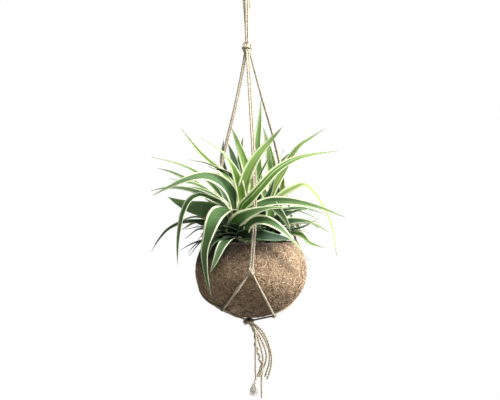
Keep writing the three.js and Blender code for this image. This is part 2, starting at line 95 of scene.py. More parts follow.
# Spun jute: pale golden bast fibre that runs along each ply, dull, with darker bark flecks.
# The streaks are about 0.3 mm wide, drawn a little coarser than real fibres so that they show. A tone
# greys the stretches that hands and the damp pot have dirtied, and also paints shade where twines lie
# in shade: under the pot, in the core of the knots and on the left leg, away from the light.
spun_jute, tree = new_material("spun_jute")
along_ply = add_node(tree, "ShaderNodeUVMap", {}, uv_map="ply")
streak_place = add_node(tree, "ShaderNodeMapping", {"Vector": along_ply, "Scale": (9, 0.45, 1)})
streaks = add_node(tree, "ShaderNodeTexNoise",
                   {"Vector": streak_place, "Scale": 1, "Detail": 3, "Roughness": 0.6})
fleck_place = add_node(tree, "ShaderNodeMapping", {"Vector": along_ply, "Scale": (2, 0.3, 1)})
flecks = add_node(tree, "ShaderNodeTexNoise", {"Vector": fleck_place, "Scale": 1, "Detail": 1})
bast = add_node(tree, "ShaderNodeValToRGB", {"Fac": streaks},
                stops=((0.25, "#7f7561"), (0.42, "#a39982"), (0.6, "#beb49f"), (0.8, "#d3ccbb")))
fleck_share = add_node(tree, "ShaderNodeMapRange",
                       {"Value": flecks, "From Min": 0.6, "From Max": 0.74, "To Max": 0.5})
flecked = add_node(tree, "ShaderNodeMix", {0: fleck_share, 6: bast, 7: paint("#6f624e")}, data_type="RGBA")
dirt_and_shade = add_node(tree, "ShaderNodeAttribute", {}, attribute_name="tone").outputs["Fac"]
dirtied_and_shaded = add_node(tree, "ShaderNodeMix", {0: dirt_and_shade, 6: flecked, 7: paint("#5d4f3c")}, data_type="RGBA")
fibre_bump = add_node(tree, "ShaderNodeBump", {"Height": streaks, "Strength": 0.6, "Distance": 0.0003})
add_node(tree, "Principled BSDF",
         {"Base Color": dirtied_and_shaded, "Normal": fibre_bump, "Roughness": 0.85, "Sheen Weight": 0.15})

# Loose jute: clean inner fibre of a ply that came undone, nearly white and a little glossy. It lets
# light through.
loose_jute, tree = new_material("loose_jute")
add_node(tree, "Principled BSDF",
         {"Base Color": paint("#f1ede2"), "Roughness": 0.6, "Transmission Weight": 0.3})


def millimetres(x, y, z):
    """A place given in millimetres."""
    return Vector((x, y, z)) / 1000


def route_length(points):
    return sum((after - before).length for before, after in zip(points, points[1:]))


def smooth_route(places, count):
    """Evenly spaced points on a smooth curve through the places."""
    ends = [2 * places[0] - places[1], *places, 2 * places[-1] - places[-2]]
    fine = []
    for before, start, end, after in zip(ends, ends[1:], ends[2:], ends[3:]):
        gap_1, gap_2, gap_3 = (length ** 0.5 for length in (
            (start - before).length, (end - start).length, (after - end).length))
        leave = (start - before) / gap_1 - (end - before) / (gap_1 + gap_2) + (end - start) / gap_2
        arrive = (end - start) / gap_2 - (after - start) / (gap_2 + gap_3) + (after - end) / gap_3
        leave, arrive = leave * gap_2, arrive * gap_2
        for step in range(40):
            t = step / 40
            fine.append(start + leave * t + (3 * (end - start) - 2 * leave - arrive) * t * t
                        + (2 * (start - end) + leave + arrive) * t ** 3)
    fine.append(places[-1])
    spacing = route_length(fine) / (count - 1)
    points, gone = [fine[0]], 0
    for before, after in zip(fine, fine[1:]):
        step = (after - before).length
        while gone + step >= spacing * len(points) and len(points) < count - 1:
            points.append(before.lerp(after, (spacing * len(points) - gone) / step))
        gone += step
    return [*points, fine[-1]]


def frames_along(points):
    """For each point of a route, its direction and two directions across it that don't spin."""
    frames = []
    ahead = (points[1] - points[0]).normalized()
    side = ahead.orthogonal().normalized()
    for index in range(len(points)):
        turned = (points[min(index + 1, len(points) - 1)] - points[max(index - 1, 0)]).normalized()
        side = ahead.rotation_difference(turned) @ side
        ahead = turned
        frames.append((ahead, side, ahead.cross(side)))
    return frames


class Shape:
    """The corners, faces, face maps and tones of a piece that is being made."""

    def __init__(self):
        self.places, self.faces, self.map, self.tones = [], [], [], []


def add_tube(shape, points, radii, sides, tone=0.0):
    """A closed round tube along the points. Its map holds the share of a turn and the length in mm."""
    tone_first, tone_last = tone if isinstance(tone, tuple) else (tone, tone)
    first = len(shape.places)
    gone = 0
    heights = []
    for index, (point, (_, side, up)) in enumerate(zip(points, frames_along(points))):
        gone += (point - points[max(index - 1, 0)]).length * 1000
        heights.append(gone)
        for corner in range(sides):
            angle = corner / sides * math.tau
            shape.places.append(point + (side * math.cos(angle) + up * math.sin(angle)) * radii[index])
            shape.tones.append(tone_first + (tone_last - tone_first) * index / (len(points) - 1))
    for index in range(len(points) - 1):
        for corner in range(sides):
            here = first + index * sides
            beside = (corner + 1) % sides
            shape.faces.append((here + corner, here + beside, here + sides + beside, here + sides + corner))
            low, high = heights[index], heights[index + 1]
            left, right = corner / sides, (corner + 1) / sides
            shape.map += [(left, low), (right, low), (right, high), (left, high)]
    last = first + (len(points) - 1) * sides
    shape.faces.append(tuple(first + corner for corner in reversed(range(sides))))
    shape.faces.append(tuple(last + corner for corner in range(sides)))
    shape.map += [(0, 0)] * sides + [(0, gone)] * sides


def add_fuzz(shape, points, count, tone):
    """Loose fibres that stand off a twine, each lifting away at a low angle."""
    for _ in range(count):
        index = twine_rng.randrange(1, len(points) - 1)
        ahead = (points[index + 1] - points[index - 1]).normalized() * twine_rng.choice((-1, 1))
        out = ahead.orthogonal().normalized()
        aim = ahead.to_track_quat("Z", "Y").to_matrix()
        out.rotate(aim @ Euler((0, 0, twine_rng.uniform(0, math.tau))).to_matrix() @ aim.inverted())
        start = points[index] + out * fuzz_root
        length = twine_rng.uniform(0.4, 1) * fuzz_reach
        places = [start, start + ahead * length * 0.5 + out * length * 0.15,
                  start + ahead * length * 0.9 + out * length * twine_rng.uniform(0.3, 0.6)]
        add_tube(shape, places, fuzz_radii, 3, tone)


# A loose fibre: how far from the twine's middle it starts, how far it reaches, and its radii.
fuzz_root = 0.0009
fuzz_reach = 0.0036
fuzz_radii = (0.00009, 0.00008, 0.00003)
# The twine: its middle line's points, its radius, and its plies' radius, distance and length of a turn.
point_spacing = 0.0009
twine_radius = 0.0013
ply_radius = 0.00074
ply_offset = 0.00056
turn_length = 0.0078
twine_rng = random.Random(7)


def twine_route(places):
    """A smooth route through the places, with its points close enough for a twine's turns."""
    return smooth_route(places, round(route_length(places) / point_spacing))


def add_twine(shape, points, fuzz=0.5, thick=None, tone=0.0, girth=1.0):
    """Two plies twisted round each other along the points.

    Fuzz is its count of loose fibres in a millimetre. Thick gives a share of the way and a factor there.
    """
    frames = frames_along(points)
    start = twine_rng.uniform(0, math.tau)
    for ply in (0, 1):
        gone = 0
        middles, radii = [], []
        for index, (point, (_, side, up)) in enumerate(zip(points, frames)):
            gone += (point - points[max(index - 1, 0)]).length
            angle = start + ply * math.pi + gone / turn_length * math.tau
            swell = girth + 0.22 * noise.noise(Vector((gone * 180, start, ply)))
            if thick:
                share = index / (len(points) - 1)
                swell += (thick[1] - 1) * math.exp(-((share - thick[0]) / 0.12) ** 2)
            middles.append(point + (side * math.cos(angle) + up * math.sin(angle)) * ply_offset * swell)
            radii.append(ply_radius * swell)
        add_tube(shape, middles, radii, 6, tone)
    add_fuzz(shape, points, int(route_length(points) * 1000 * fuzz), tone)


def hand_in(piece, slot, *nodes):
    """Puts the piece on its body and has it stand for its CAD nodes, which are hidden. The slot is not
    used.
    """
    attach(piece, "root")
    if nodes:
        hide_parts(*nodes)


def add_piece(name, shape, material, slot, *nodes):
    """Makes the piece's mesh and object, puts it on its body and hides the CAD nodes that it stands for."""
    mesh = bpy.data.meshes.new(name)
    mesh.from_pydata(shape.places, [], shape.faces)
    layer = mesh.uv_layers.new(name="ply")
    layer.data.foreach_set("uv", [number for pair in shape.map for number in pair])
    tones = mesh.attributes.new("tone", "FLOAT", "POINT")
    tones.data.foreach_set("value", shape.tones)
    mesh.polygons.foreach_set("use_smooth", [True] * len(mesh.polygons))
    mesh.materials.append(material)
    piece = bpy.data.objects.new(name, mesh)
    scene.collection.objects.link(piece)
    hand_in(piece, slot, *nodes)
    return piece


# A slack twine is this many times as fat as a drawn one.
loose_girth = 1.22
# One end is crimped and another ends in a tuft of this many fibres.
crimped_end = 3
tufted_end = 2
tuft_count = 240
crimp_depth = 0.0011
# The places in mm that each loose end passes.
tassel = [
    [(7, 0, -481), (20.5, -1, -492), (28, -2, -506), (32.5, -2, -521), (33.8, -2, -530), (32.7, -2, -540),
     (30.7, -1, -549), (27.3, 0, -558)],
    [(4, -4, -483), (10.2, -6, -491), (11.6, -7, -504), (11.6, -7, -525), (11.6, -7, -543), (12, -6, -556),
     (8.5, -5, -577)],
    [(5, 2, -483), (10.5, 4, -497), (12.3, 4, -514), (15, 3, -523), (17, 3, -530), (19.4, 2, -540),
     (17, 2, -547), (14.3, 2, -555)],
    [(6, -2, -483), (13.6, -3, -498), (17.7, -4, -511), (20.7, -5, -522), (21.8, -5, -530),
     (21.1, -5, -539), (19.8, -5, -547), (17, -5, -554)],
    [(7, 3.6, -482), (20.5, 5.2, -498), (27.3, 5, -511), (30.7, 4, -522), (31.1, 4, -529), (30, 3, -539),
     (27.3, 3, -547), (24.6, 3, -555)],
    [(4, 5, -483), (15.5, 9, -498), (23, 10, -513), (26.6, 9, -525), (26.6, 9, -530), (25.2, 9, -537),
     (21.8, 8, -547), (20.2, 8, -555), (20.2, 7, -585)],
]
for number, route in enumerate(tassel, 1):
    path = twine_route([millimetres(*place) for place in route])
    if number == crimped_end:
        # It was knotted before and has kept seven crimps, which are deepest at its middle.
        for index, point in enumerate(path):
            share = index / (len(path) - 1)
            point.x += crimp_depth * math.sin(share * 44) * math.sin(share * math.pi)
    strand = Shape()
    add_twine(strand, path, 0.8, (0.42, 1.5) if number == crimped_end else None, 0.3, loose_girth)
    piece = add_piece(f"tassel_twine_{number}", strand, spun_jute, "jute", f"tassel_strand_{number}")
    if number == tufted_end:
        # The plies come undone at the end and spread into a pale tuft.
        tuft = Shape()
        down = (path[-1] - path[-6]).normalized()
        for _ in range(tuft_count):
            root = path[-1 - twine_rng.randint(13, 25)]
            bearing = twine_rng.uniform(0, math.tau)
            spread = Vector((math.cos(bearing) * 0.0065, math.sin(bearing) * 0.003, 0))
            spread *= twine_rng.random() ** 0.5
            tip = path[-1] + spread + down * twine_rng.uniform(-0.003, 0.004)
            places = [root, root.lerp(tip, 0.5) + spread * 0.3, tip]
            add_tube(tuft, places, (0.00016, 0.00015, 0.00007), 3)
        add_piece("tassel_tuft", tuft, loose_jute, "jute")

# Knots: the real ones are overhand knots in the hanger's own twine, pulled tight by hand. Each is a
# band of twines laid round itself like a pretzel, over the twines that are caught inside it.

# The pot's middle and its radius at its widest line. All measures of the pot, the net and the leaves
# are in mm.
pot_middle = (5.5, 0, -410.5)
pot_radius = 75


def round_pot(bearing, radius, height):
    """A place round the pot in mm: degrees from the front, a radius, and a height above the widest line."""
    angle = math.radians(bearing)
    return (pot_middle[0] + radius * math.sin(angle), -radius * math.cos(angle), pot_middle[2] + height)


# Each knot: its middle and its half sizes in mm, how many bands it has, how far in degrees it is
# tilted and turned, and how dark its tone is, for dirt and painted shade.
knots = {
    "top_knot": ((0, 0, -105), (7.5, 7, 8.2), 3, (70, 25), 0.25),
    "side_knot_front": (round_pot(0, 80.2, 4), (5, 4.6, 6), 2, (75, 20), 0.45),
    "side_knot_right": (round_pot(120, 80.2, 4), (5, 4.6, 6), 2, (75, 140), 0.5),
    "side_knot_left": (round_pot(-120, 80.2, 4), (5, 4.6, 6), 2, (75, -100), 0.5),
    "lower_knot_left": (round_pot(-45, 53.3, -49.3), (3.8, 3.8, 3.4), 1, (60, -50), 0.6),
    "lower_knot_right": (round_pot(60, 36, -59.5), (3.8, 3.8, 3.4), 1, (60, 50), 0.75),
    "lower_knot_back": (round_pot(180, 41, -57.5), (3.8, 3.8, 3.4), 1, (60, 170), 0.6),
    "bottom_knot": ((2, 0, -478.8), (8, 7.5, 5.3), 3, (50, -20), 0.1),
}
for name, (middle, halves, bands, (tilt, heading), tone) in knots.items():
    knot = Shape()
    turn = Euler((math.radians(tilt), 0, math.radians(heading))).to_matrix()
    room = Vector(halves) / 1000 - Vector((1, 1, 1)) * twine_radius
    steps = 70
    for band in range(bands):
        points = []
        for step in range(steps + 1):
            t = step / steps * math.tau
            ring = Vector((math.cos(2 * t), math.sin(2 * t), 0))
            off = ring * math.cos(3 * t) + Vector((0, 0, math.sin(3 * t)))
            across = Vector((-ring.y, ring.x, 0)) * 0.35 - ring * math.sin(3 * t)
            across.z += math.cos(3 * t)
            place = (ring + off * 0.52) / 1.52 + across.normalized() * (band - (bands - 1) / 2) * 0.3
            place = turn @ place
            if place.length > 1:
                place.normalize()
            points.append(Vector(a * b for a, b in zip(place, room)) + millimetres(*middle))
        add_twine(knot, points, fuzz=0.4, tone=tone)
    # Where the knot's foot draws in, the last turns lie round it, a little askew.
    for low in (0.3, 0.78) if bands > 2 else (0.5,):
        reach = math.sqrt(1.25 - low)
        foot_turn = []
        for step in range(26):
            t = step / 4
            askew = low + 0.25 * math.sin(t + heading)
            foot_turn.append(millimetres(*middle) + Vector((room.x * reach * math.cos(t),
                                                            room.y * reach * math.sin(t), -room.z * askew)))
        add_twine(knot, foot_turn, fuzz=0.6, tone=tone)
    # The core deep inside the knot is painted darker still, as painted shade in the knot's gaps.
    core = [millimetres(*middle) + Vector((0, 0, room.z * share)) for share in (-0.8, -0.48, 0, 0.48, 0.8)]
    add_tube(knot, core, [room.x * share for share in (0.2, 0.6, 0.75, 0.6, 0.2)], 10, tone + 0.15)
    add_piece(f"{name}_twine", knot, spun_jute, "jute", name)

# Hanging loop: three twines side by side over the hook, drawn together into the top knot. On the way
# down they close from a row into a round bundle.

twine_spacing = 2.95
hook_radius = 5
# Each level: its height and how far out the twines are there, in mm, and how far in degrees the row is
# turned into a bundle.
loop_levels = [(-5, 6.3, 0), (-22, 4.2, 35), (-41, 2, 60), (-60, 1.48, 35), (-80, 1.48, 5), (-99, 1.48, 0)]
loop = Shape()
for row in (-1, 0, 1):
    legs = {}
    for side in (-1, 1):
        legs[side] = []
        for height, inner, closing in loop_levels:
            outward = twine_spacing * math.sin(math.radians(closing)) if row == 0 else 0
            legs[side].append(millimetres(side * (inner + outward),
                                          row * twine_spacing * math.cos(math.radians(closing)), height))
    bend = hook_radius + twine_radius * 1000
    over = [millimetres(bend * math.cos(math.radians(degrees)), row * twine_spacing,
                        bend * math.sin(math.radians(degrees)) - hook_radius)
            for degrees in (150, 120, 90, 60, 30)]
    places = [*reversed(legs[-1]), *over, *legs[1]]
    add_twine(loop, twine_route(places), tone=0.1, girth=1.15)
add_piece("loop_twine", loop, spun_jute, "jute", "loop_strand_1", "loop_strand_2", "loop_strand_3")

# Legs: three pairs of twines from the top knot to the side knots, bowed a little by the leaves that
# press on them. The two twines of a pair lie loosely against each other.

# Each leg: how far in degrees its pair is turned at its two ends, how dark its tone is there, for dirt
# and painted shade, and its route in mm.
leg_routes = {
    "front": ((25, 0), (0.1, 0.5), [(0.5, -3, -108), (4, -14, -163), (10, -47, -283), (10, -65, -343)]),
    "left": ((60, 35), (0.25, 0.5), [(-1.5, 3, -108), (-5.2, 5.5, -131), (-15.5, 9, -183),
                                     (-31, 18.5, -247), (-48, 29, -330)]),
    "right": ((-85, -55), (0, 0.15), [(3, 2, -108), (20.5, 8, -173), (36, 16, -226), (61, 30, -334)]),
}
for name, ((first_turn, last_turn), tones, route) in leg_routes.items():
    leg = Shape()
    ends = [*route, knots[f"side_knot_{name}"][0]]
    for side in (-1, 1):
        places = []
        for number, (x, y, z) in enumerate(ends):
            angle = math.radians(first_turn + (last_turn - first_turn) * number / (len(ends) - 1))
            offset = side * twine_spacing / 2
            places.append(millimetres(x + offset * math.cos(angle), y + offset * math.sin(angle), z))
        add_twine(leg, twine_route(places), fuzz=0.9, tone=tones, girth=loose_girth)
    add_piece(f"leg_twine_{name}", leg, spun_jute, "jute", f"leg_strand_{name}_1", f"leg_strand_{name}_2")

# Net: single twines from each side knot down to the lower knots between them, and pairs from there
# in under the pot to the bottom knot. The pot's weight draws them tight against the coir.

pot_lower_height = 62.5
clearance = 1.9


def net_route(first, last, side):
    """The straight line between two knots, pushed out to the pot's surface where the pot is in the way."""
    start, end = (Vector(knots[name][0]) for name in (first, last))
    aside = Vector((end.y - start.y, start.x - end.x, 0)).normalized() * side * twine_spacing / 2
    places = []
    for number in range(11):
        place = start.lerp(end, number / 10) + aside - Vector(pot_middle)
        share = math.hypot(place.x / (pot_radius + clearance), place.y / (pot_radius + clearance),
                           place.z / (pot_lower_height + clearance))
        places.append((place / min(1, share) + Vector(pot_middle)) / 1000)
    return twine_route(places)


for side, lower in (("front", "left"), ("front", "right"), ("right", "right"), ("right", "back"),
                    ("left", "left"), ("left", "back")):
    net = Shape()
    # One twine was spun unevenly and has a thick soft stretch.
    fuzz, thick = (1.2, (0.4, 1.9)) if (side, lower) == ("front", "left") else (0.7, None)
    add_twine(net, net_route(f"side_knot_{side}", f"lower_knot_{lower}", 0), fuzz, thick, 0.3, 1.2)
    add_piece(f"net_twine_{side}_to_{lower}", net, spun_jute, "jute", f"net_strand_{side}_to_{lower}")
for lower in ("left", "right", "back"):
    under = Shape()
    for side in (-1, 1):
        # The twines under the pot get a dark tone: dirt from the damp base and painted shade from the pot.
        add_twine(under, net_route(f"lower_knot_{lower}", "bottom_knot", side), tone=0.85)
    add_piece(f"under_twine_{lower}", under, spun_jute, "jute",
              f"under_strand_{lower}_1", f"under_strand_{lower}_2")

# Coir pot: a ball-shaped shell of coconut husk fibre, felted and pressed in a mould with a little
# natural latex. Its fibres lie every way in the surface. The cut rim is darker, partly damp and partly
# painted shadow from the leaves over it.

pot_upper_height = 70
rim_height = 40
pot_wall = 8
lip = pot_wall // 2
rim_foot = rim_height - lip


def pot_radius_at(height, inset=0):
    """The ball's radius in mm at a height above its widest line, taken in by an inset."""
    reach = (pot_lower_height if height < 0 else pot_upper_height) - inset
    return (pot_radius - inset) * math.sqrt(max(0, 1 - (height / reach) ** 2))


rim_radius = pot_radius_at(rim_foot) - lip

# Pressed coir: matted brown husk fibre, dull, with dark gaps between lighter fibres. The mottling is
# 2 to 4 mm across, as in the felt, with slower changes from one handful of fibre to the next.
pressed_coir, tree = new_material("pressed_coir")
place = add_node(tree, "ShaderNodeTexCoord", {}).outputs["Object"]
matting = add_node(tree, "ShaderNodeTexNoise",
                   {"Vector": place, "Scale": 260, "Detail": 4, "Roughness": 0.65, "Distortion": 1.6})
patches = add_node(tree, "ShaderNodeTexNoise", {"Vector": place, "Scale": 28, "Detail": 2})
mat_colour = add_node(tree, "ShaderNodeValToRGB", {"Fac": matting},
                      stops=((0.32, "#2c2219"), (0.45, "#796349"), (0.58, "#b39878"), (0.75, "#d7c09e")))
patch_shade = add_node(tree, "ShaderNodeValToRGB", {"Fac": patches},
                       stops=((0.32, "#a39a90"), (0.62, "#ffffff")))
patched = add_node(tree, "ShaderNodeMix", {0: 1, 6: mat_colour, 7: patch_shade},
                   data_type="RGBA", blend_type="MULTIPLY")
# The rim is darker, partly damp and partly painted shadow from the leaves over it. The darkening reaches
# further down on the left, the side away from the key light, as painted shade. Its edge is uneven.
# The base is darker too, partly damp and partly painted shade.
height = add_node(tree, "ShaderNodeSeparateXYZ", {"Vector": place})
shady_height = add_node(tree, "ShaderNodeMath", {0: height.outputs["X"], 1: -0.25, 2: height.outputs["Z"]},
                        operation="MULTIPLY_ADD")
uneven_height = add_node(tree, "ShaderNodeMath", {0: patches, 1: 0.03, 2: shady_height},
                         operation="MULTIPLY_ADD")
rim_damp_and_shadow = add_node(tree, "ShaderNodeMapRange",
                     {"Value": uneven_height, "From Min": -0.385, "From Max": -0.362, "To Max": 0.96})
base_damp_and_shade = add_node(tree, "ShaderNodeMapRange",
                     {"Value": uneven_height, "From Min": -0.405, "From Max": -0.445, "To Max": 0.3})
base_damp_and_shade = add_node(tree, "ShaderNodeMix", {0: base_damp_and_shade, 6: patched, 7: paint("#4a3526")},
                     data_type="RGBA")
# Painted shadow and damp: the rim and the left side are mixed towards near black.
damp_and_shade = add_node(tree, "ShaderNodeMix", {0: rim_damp_and_shadow, 6: base_damp_and_shade, 7: paint("#231a14")},
                data_type="RGBA")
mat_bump = add_node(tree, "ShaderNodeBump", {"Height": matting, "Strength": 0.9, "Distance": 0.0015})
add_node(tree, "Principled BSDF", {"Base Color": damp_and_shade, "Normal": mat_bump, "Roughness": 0.95})

# Husk fibre: single coir fibres, from dark bark brown to straw, each one colour along its length.
husk_fibre, tree = new_material("husk_fibre")
fibre_tone = add_node(tree, "ShaderNodeAttribute", {}, attribute_name="tone").outputs["Fac"]
bark = add_node(tree, "ShaderNodeValToRGB", {"Fac": fibre_tone},
                stops=((0, "#2e231a"), (0.35, "#7b644d"), (0.7, "#bfa484"), (1, "#e2cdae")))
add_node(tree, "Principled BSDF", {"Base Color": bark, "Roughness": 0.75})


def spun_piece(name, profile, steps):
    """A turned shell: a profile of (radius, height) in mm round the pot's middle, spun into a solid."""
    mesh = bpy.data.meshes.new(name)
    mesh.from_pydata([millimetres(radius, 0, height) for radius, height in profile],
                     [(number, number + 1) for number in range(len(profile) - 1)], [])
    piece = bpy.data.objects.new(name, mesh)
    scene.collection.objects.link(piece)
    bpy.ops.object.select_all(action="DESELECT")
    bpy.context.view_layer.objects.active = piece
    piece.select_set(True)
    bpy.ops.object.mode_set(mode="EDIT")
    bpy.ops.mesh.select_all(action="SELECT")
    bpy.ops.mesh.spin(steps=steps, angle=math.tau, center=(0, 0, 0), axis=(0, 0, 1))
    bpy.ops.mesh.select_all(action="SELECT")
    bpy.ops.mesh.remove_doubles(threshold=0.00001)
    bpy.ops.mesh.normals_make_consistent(inside=False)
    bpy.ops.transform.translate(value=millimetres(*pot_middle))
    bpy.ops.object.mode_set(mode="OBJECT")
    bpy.ops.object.shade_smooth()
    return piece


def roughen(piece, grain, depth, detail):
    """Moves the surface in and out by a fine cloud pattern, grain in metres across."""
    texture = bpy.data.textures.new(f"{piece.name}_grain", "CLOUDS")
    texture.noise_scale = grain
    texture.noise_depth = detail
    modifier = piece.modifiers.new("grain", "DISPLACE")
    modifier.texture = texture
    modifier.texture_coords = "LOCAL"
    modifier.strength = depth
    bpy.context.view_layer.objects.active = piece
    bpy.ops.object.modifier_apply(modifier=modifier.name)


def lower_half(degrees, inset):
    """A place on the pot's lower half: degrees up from the bottom, taken in by an inset."""
    angle = math.radians(degrees)
    return (pot_radius - inset) * math.sin(angle), (inset - pot_lower_height) * math.cos(angle)


outer = [lower_half(degrees, 0) for degrees in range(0, 90, 2)]
outer += [(pot_radius_at(height), height) for height in range(0, rim_foot, 2)]
rim = [(rim_radius + lip * math.cos(math.radians(angle)), rim_foot + lip * math.sin(math.radians(angle)))
       for angle in range(0, 181, 20)]
inner = [(pot_radius_at(height, pot_wall), height) for height in range(rim_foot - lip, 0, -4)]
inner += [lower_half(degrees, pot_wall) for degrees in range(90, -1, -6)]
coir_pot = spun_piece("pressed_pot", [*outer, *rim, *inner], 220)
roughen(coir_pot, 0.022, 0.0016, 1)
roughen(coir_pot, 0.0035, 0.0012, 2)
coir_pot.data.materials.append(pressed_coir)
hand_in(coir_pot, "coir", "coir_pot")


def on_pot(place, lift):
    """The nearest place on the pot's outside to a place in mm from its middle, raised by a lift."""
    if place.z > rim_foot:
        ring = Vector((place.x, place.y, 0)).normalized() * rim_radius + Vector((0, 0, rim_foot))
        away = (place - ring).normalized()
        return ring + away * (lip + lift), away
    height = pot_lower_height if place.z < 0 else pot_upper_height
    share = math.hypot(place.x / pot_radius, place.y / pot_radius, place.z / height)
    away = Vector((place.x / pot_radius ** 2, place.y / pot_radius ** 2, place.z / height ** 2))
    away.normalize()
    return place / share + away * lift, away


def add_husk(shape, start, steps, step_length, width, lift, tone):
    """One curved fibre that lies in the pot's surface, its two ends a little free."""
    heading = husk_rng.uniform(0, math.tau)
    curl = husk_rng.gauss(0, 0.32)
    place, away = on_pot(start, lift)
    across = away.orthogonal().normalized()
    direction = across * math.cos(heading) + away.cross(across) * math.sin(heading)
    points = []
    for step in range(steps + 1):
        share = step / steps
        raised = lift + 0.7 * (2 * share - 1) ** 4
        place, away = on_pot(place, raised)
        points.append((place + Vector(pot_middle)) / 1000)
        direction = (direction - away * direction.dot(away)).normalized()
        direction = direction * math.cos(curl) + away.cross(direction) * math.sin(curl)
        place = place + direction * step_length
    radii = [width / 2000 * (0.35 + 0.65 * math.sin(math.pi * (0.08 + 0.84 * step / steps)))
             for step in range(steps + 1)]
    add_tube(shape, points, radii, 3, tone)


husk_rng = random.Random(31)
fibres_in_layer = 4300
for layer in (1, 2):
    husk = Shape()
    for _ in range(fibres_in_layer):
        z = husk_rng.uniform(-1, rim_height / pot_upper_height)
        bearing = husk_rng.uniform(0, math.tau)
        flat = math.sqrt(1 - z * z) * pot_radius
        start = Vector((flat * math.cos(bearing), flat * math.sin(bearing),
                        z * (pot_lower_height if z < 0 else pot_upper_height)))
        # Fibres near the rim, on the left and low down are darkened like the felt: partly damp, partly
        # painted shade.
        damp_and_shade_share = min(1, max(0, (start.z - start.x / 4 - 18) / 18, (-start.z - 10) / 80))
        tone = husk_rng.betavariate(3, 2.4) * (1 - 0.92 * damp_and_shade_share)
        add_husk(husk, start, husk_rng.randint(4, 6), husk_rng.uniform(1.8, 3.2),
                 husk_rng.uniform(0.3, 0.65), husk_rng.uniform(-0.2, 0.7), tone)
    add_piece(f"husk_fibres_{layer}", husk, husk_fibre, "coir")

# Potting soil: dark peat and coir dust, settled a little below the rim, with crumbs and a few white
# grains of perlite. The rootstock is buried in it.

# The soil's edge, in mm above the pot's widest line, and how much higher its middle is.
soil_top = rim_height - 8
soil_swell = 2.5
crumb_count = 320
peat, tree = new_material("peat")
place = add_node(tree, "ShaderNodeTexCoord", {}).outputs["Object"]
crumb_noise = add_node(tree, "ShaderNodeTexNoise", {"Vector": place, "Scale": 420, "Detail": 4})
dark_peat = add_node(tree, "ShaderNodeValToRGB", {"Fac": crumb_noise},
                     stops=((0.35, "#17100b"), (0.55, "#33241a"), (0.7, "#5a4330")))
peat_bump = add_node(tree, "ShaderNodeBump", {"Height": crumb_noise, "Strength": 1, "Distance": 0.002})
add_node(tree, "Principled BSDF", {"Base Color": dark_peat, "Normal": peat_bump, "Roughness": 1})

# Perlite: puffed volcanic glass, white and chalky.
perlite, tree = new_material("perlite")
place = add_node(tree, "ShaderNodeTexCoord", {}).outputs["Object"]
pores = add_node(tree, "ShaderNodeTexNoise", {"Vector": place, "Scale": 900, "Detail": 2})
chalk = add_node(tree, "ShaderNodeValToRGB", {"Fac": pores}, stops=((0.35, "#b9b6ae"), (0.6, "#f2f1ec")))
add_node(tree, "Principled BSDF", {"Base Color": chalk, "Roughness": 0.9})

inset = pot_wall + 0.6
soil_profile = [lower_half(degrees, inset) for degrees in range(0, 90, 6)]
soil_profile += [(pot_radius_at(height, inset), height) for height in range(0, soil_top, 4)]
edge = pot_radius_at(soil_top, inset)
soil_profile += [(edge * (1 - step / 16), soil_top + soil_swell * math.sin(step / 16 * math.pi / 2))
                 for step in range(16)]
soil_profile.append((0, soil_top + soil_swell))


def join(pieces, name):
    """Joins the pieces to the first of them."""
    bpy.ops.object.select_all(action="DESELECT")
    for piece in pieces:
        piece.select_set(True)
    bpy.context.view_layer.objects.active = pieces[0]
    bpy.ops.object.join()
    pieces[0].name = pieces[0].data.name = name
    return pieces[0]


soil = spun_piece("peat_soil", soil_profile, 96)
roughen(soil, 0.006, 0.0025, 2)
soil.data.materials.append(peat)
soil.data.materials.append(perlite)
crumb_rng = random.Random(12)
crumbs = [soil]
for number in range(crumb_count):
    bearing = crumb_rng.uniform(0, math.tau)
    radius = math.sqrt(crumb_rng.random()) * (edge - 3)
    # One crumb in sixteen is a grain of perlite.
    white = number % 16 == 0
    size = crumb_rng.uniform(0.9, 1.5) if white else crumb_rng.uniform(0.8, 2.4)
    bpy.ops.mesh.primitive_ico_sphere_add(
        subdivisions=1, radius=size / 1000,
        location=millimetres(pot_middle[0] + radius * math.cos(bearing), radius * math.sin(bearing),
                             pot_middle[2] + soil_top + 1.5 + crumb_rng.uniform(0, 1.6)),
        rotation=[crumb_rng.uniform(0, math.tau) for _ in range(3)],
        scale=(1, crumb_rng.uniform(0.6, 1), crumb_rng.uniform(0.5, 0.9)))
    crumb = bpy.context.object
    crumb.data.materials.append(perlite if white else peat)
    crumbs.append(crumb)
join(crumbs, "peat_soil")
hand_in(soil, "soil", "potting_soil")

# Spider plant: five crowns on one rootstock, each a tuft of strap leaves with cream margins. Its own
# places are in mm from the middle of the rim's top.

plant_middle = Vector((pot_middle[0], pot_middle[1], pot_middle[2] + rim_height))
crown_radius = 8
crowns = {"front": (-12, -27), "right": (24, 8), "left": (-28, 10), "back": (4, 32), "middle": (-1, 3)}
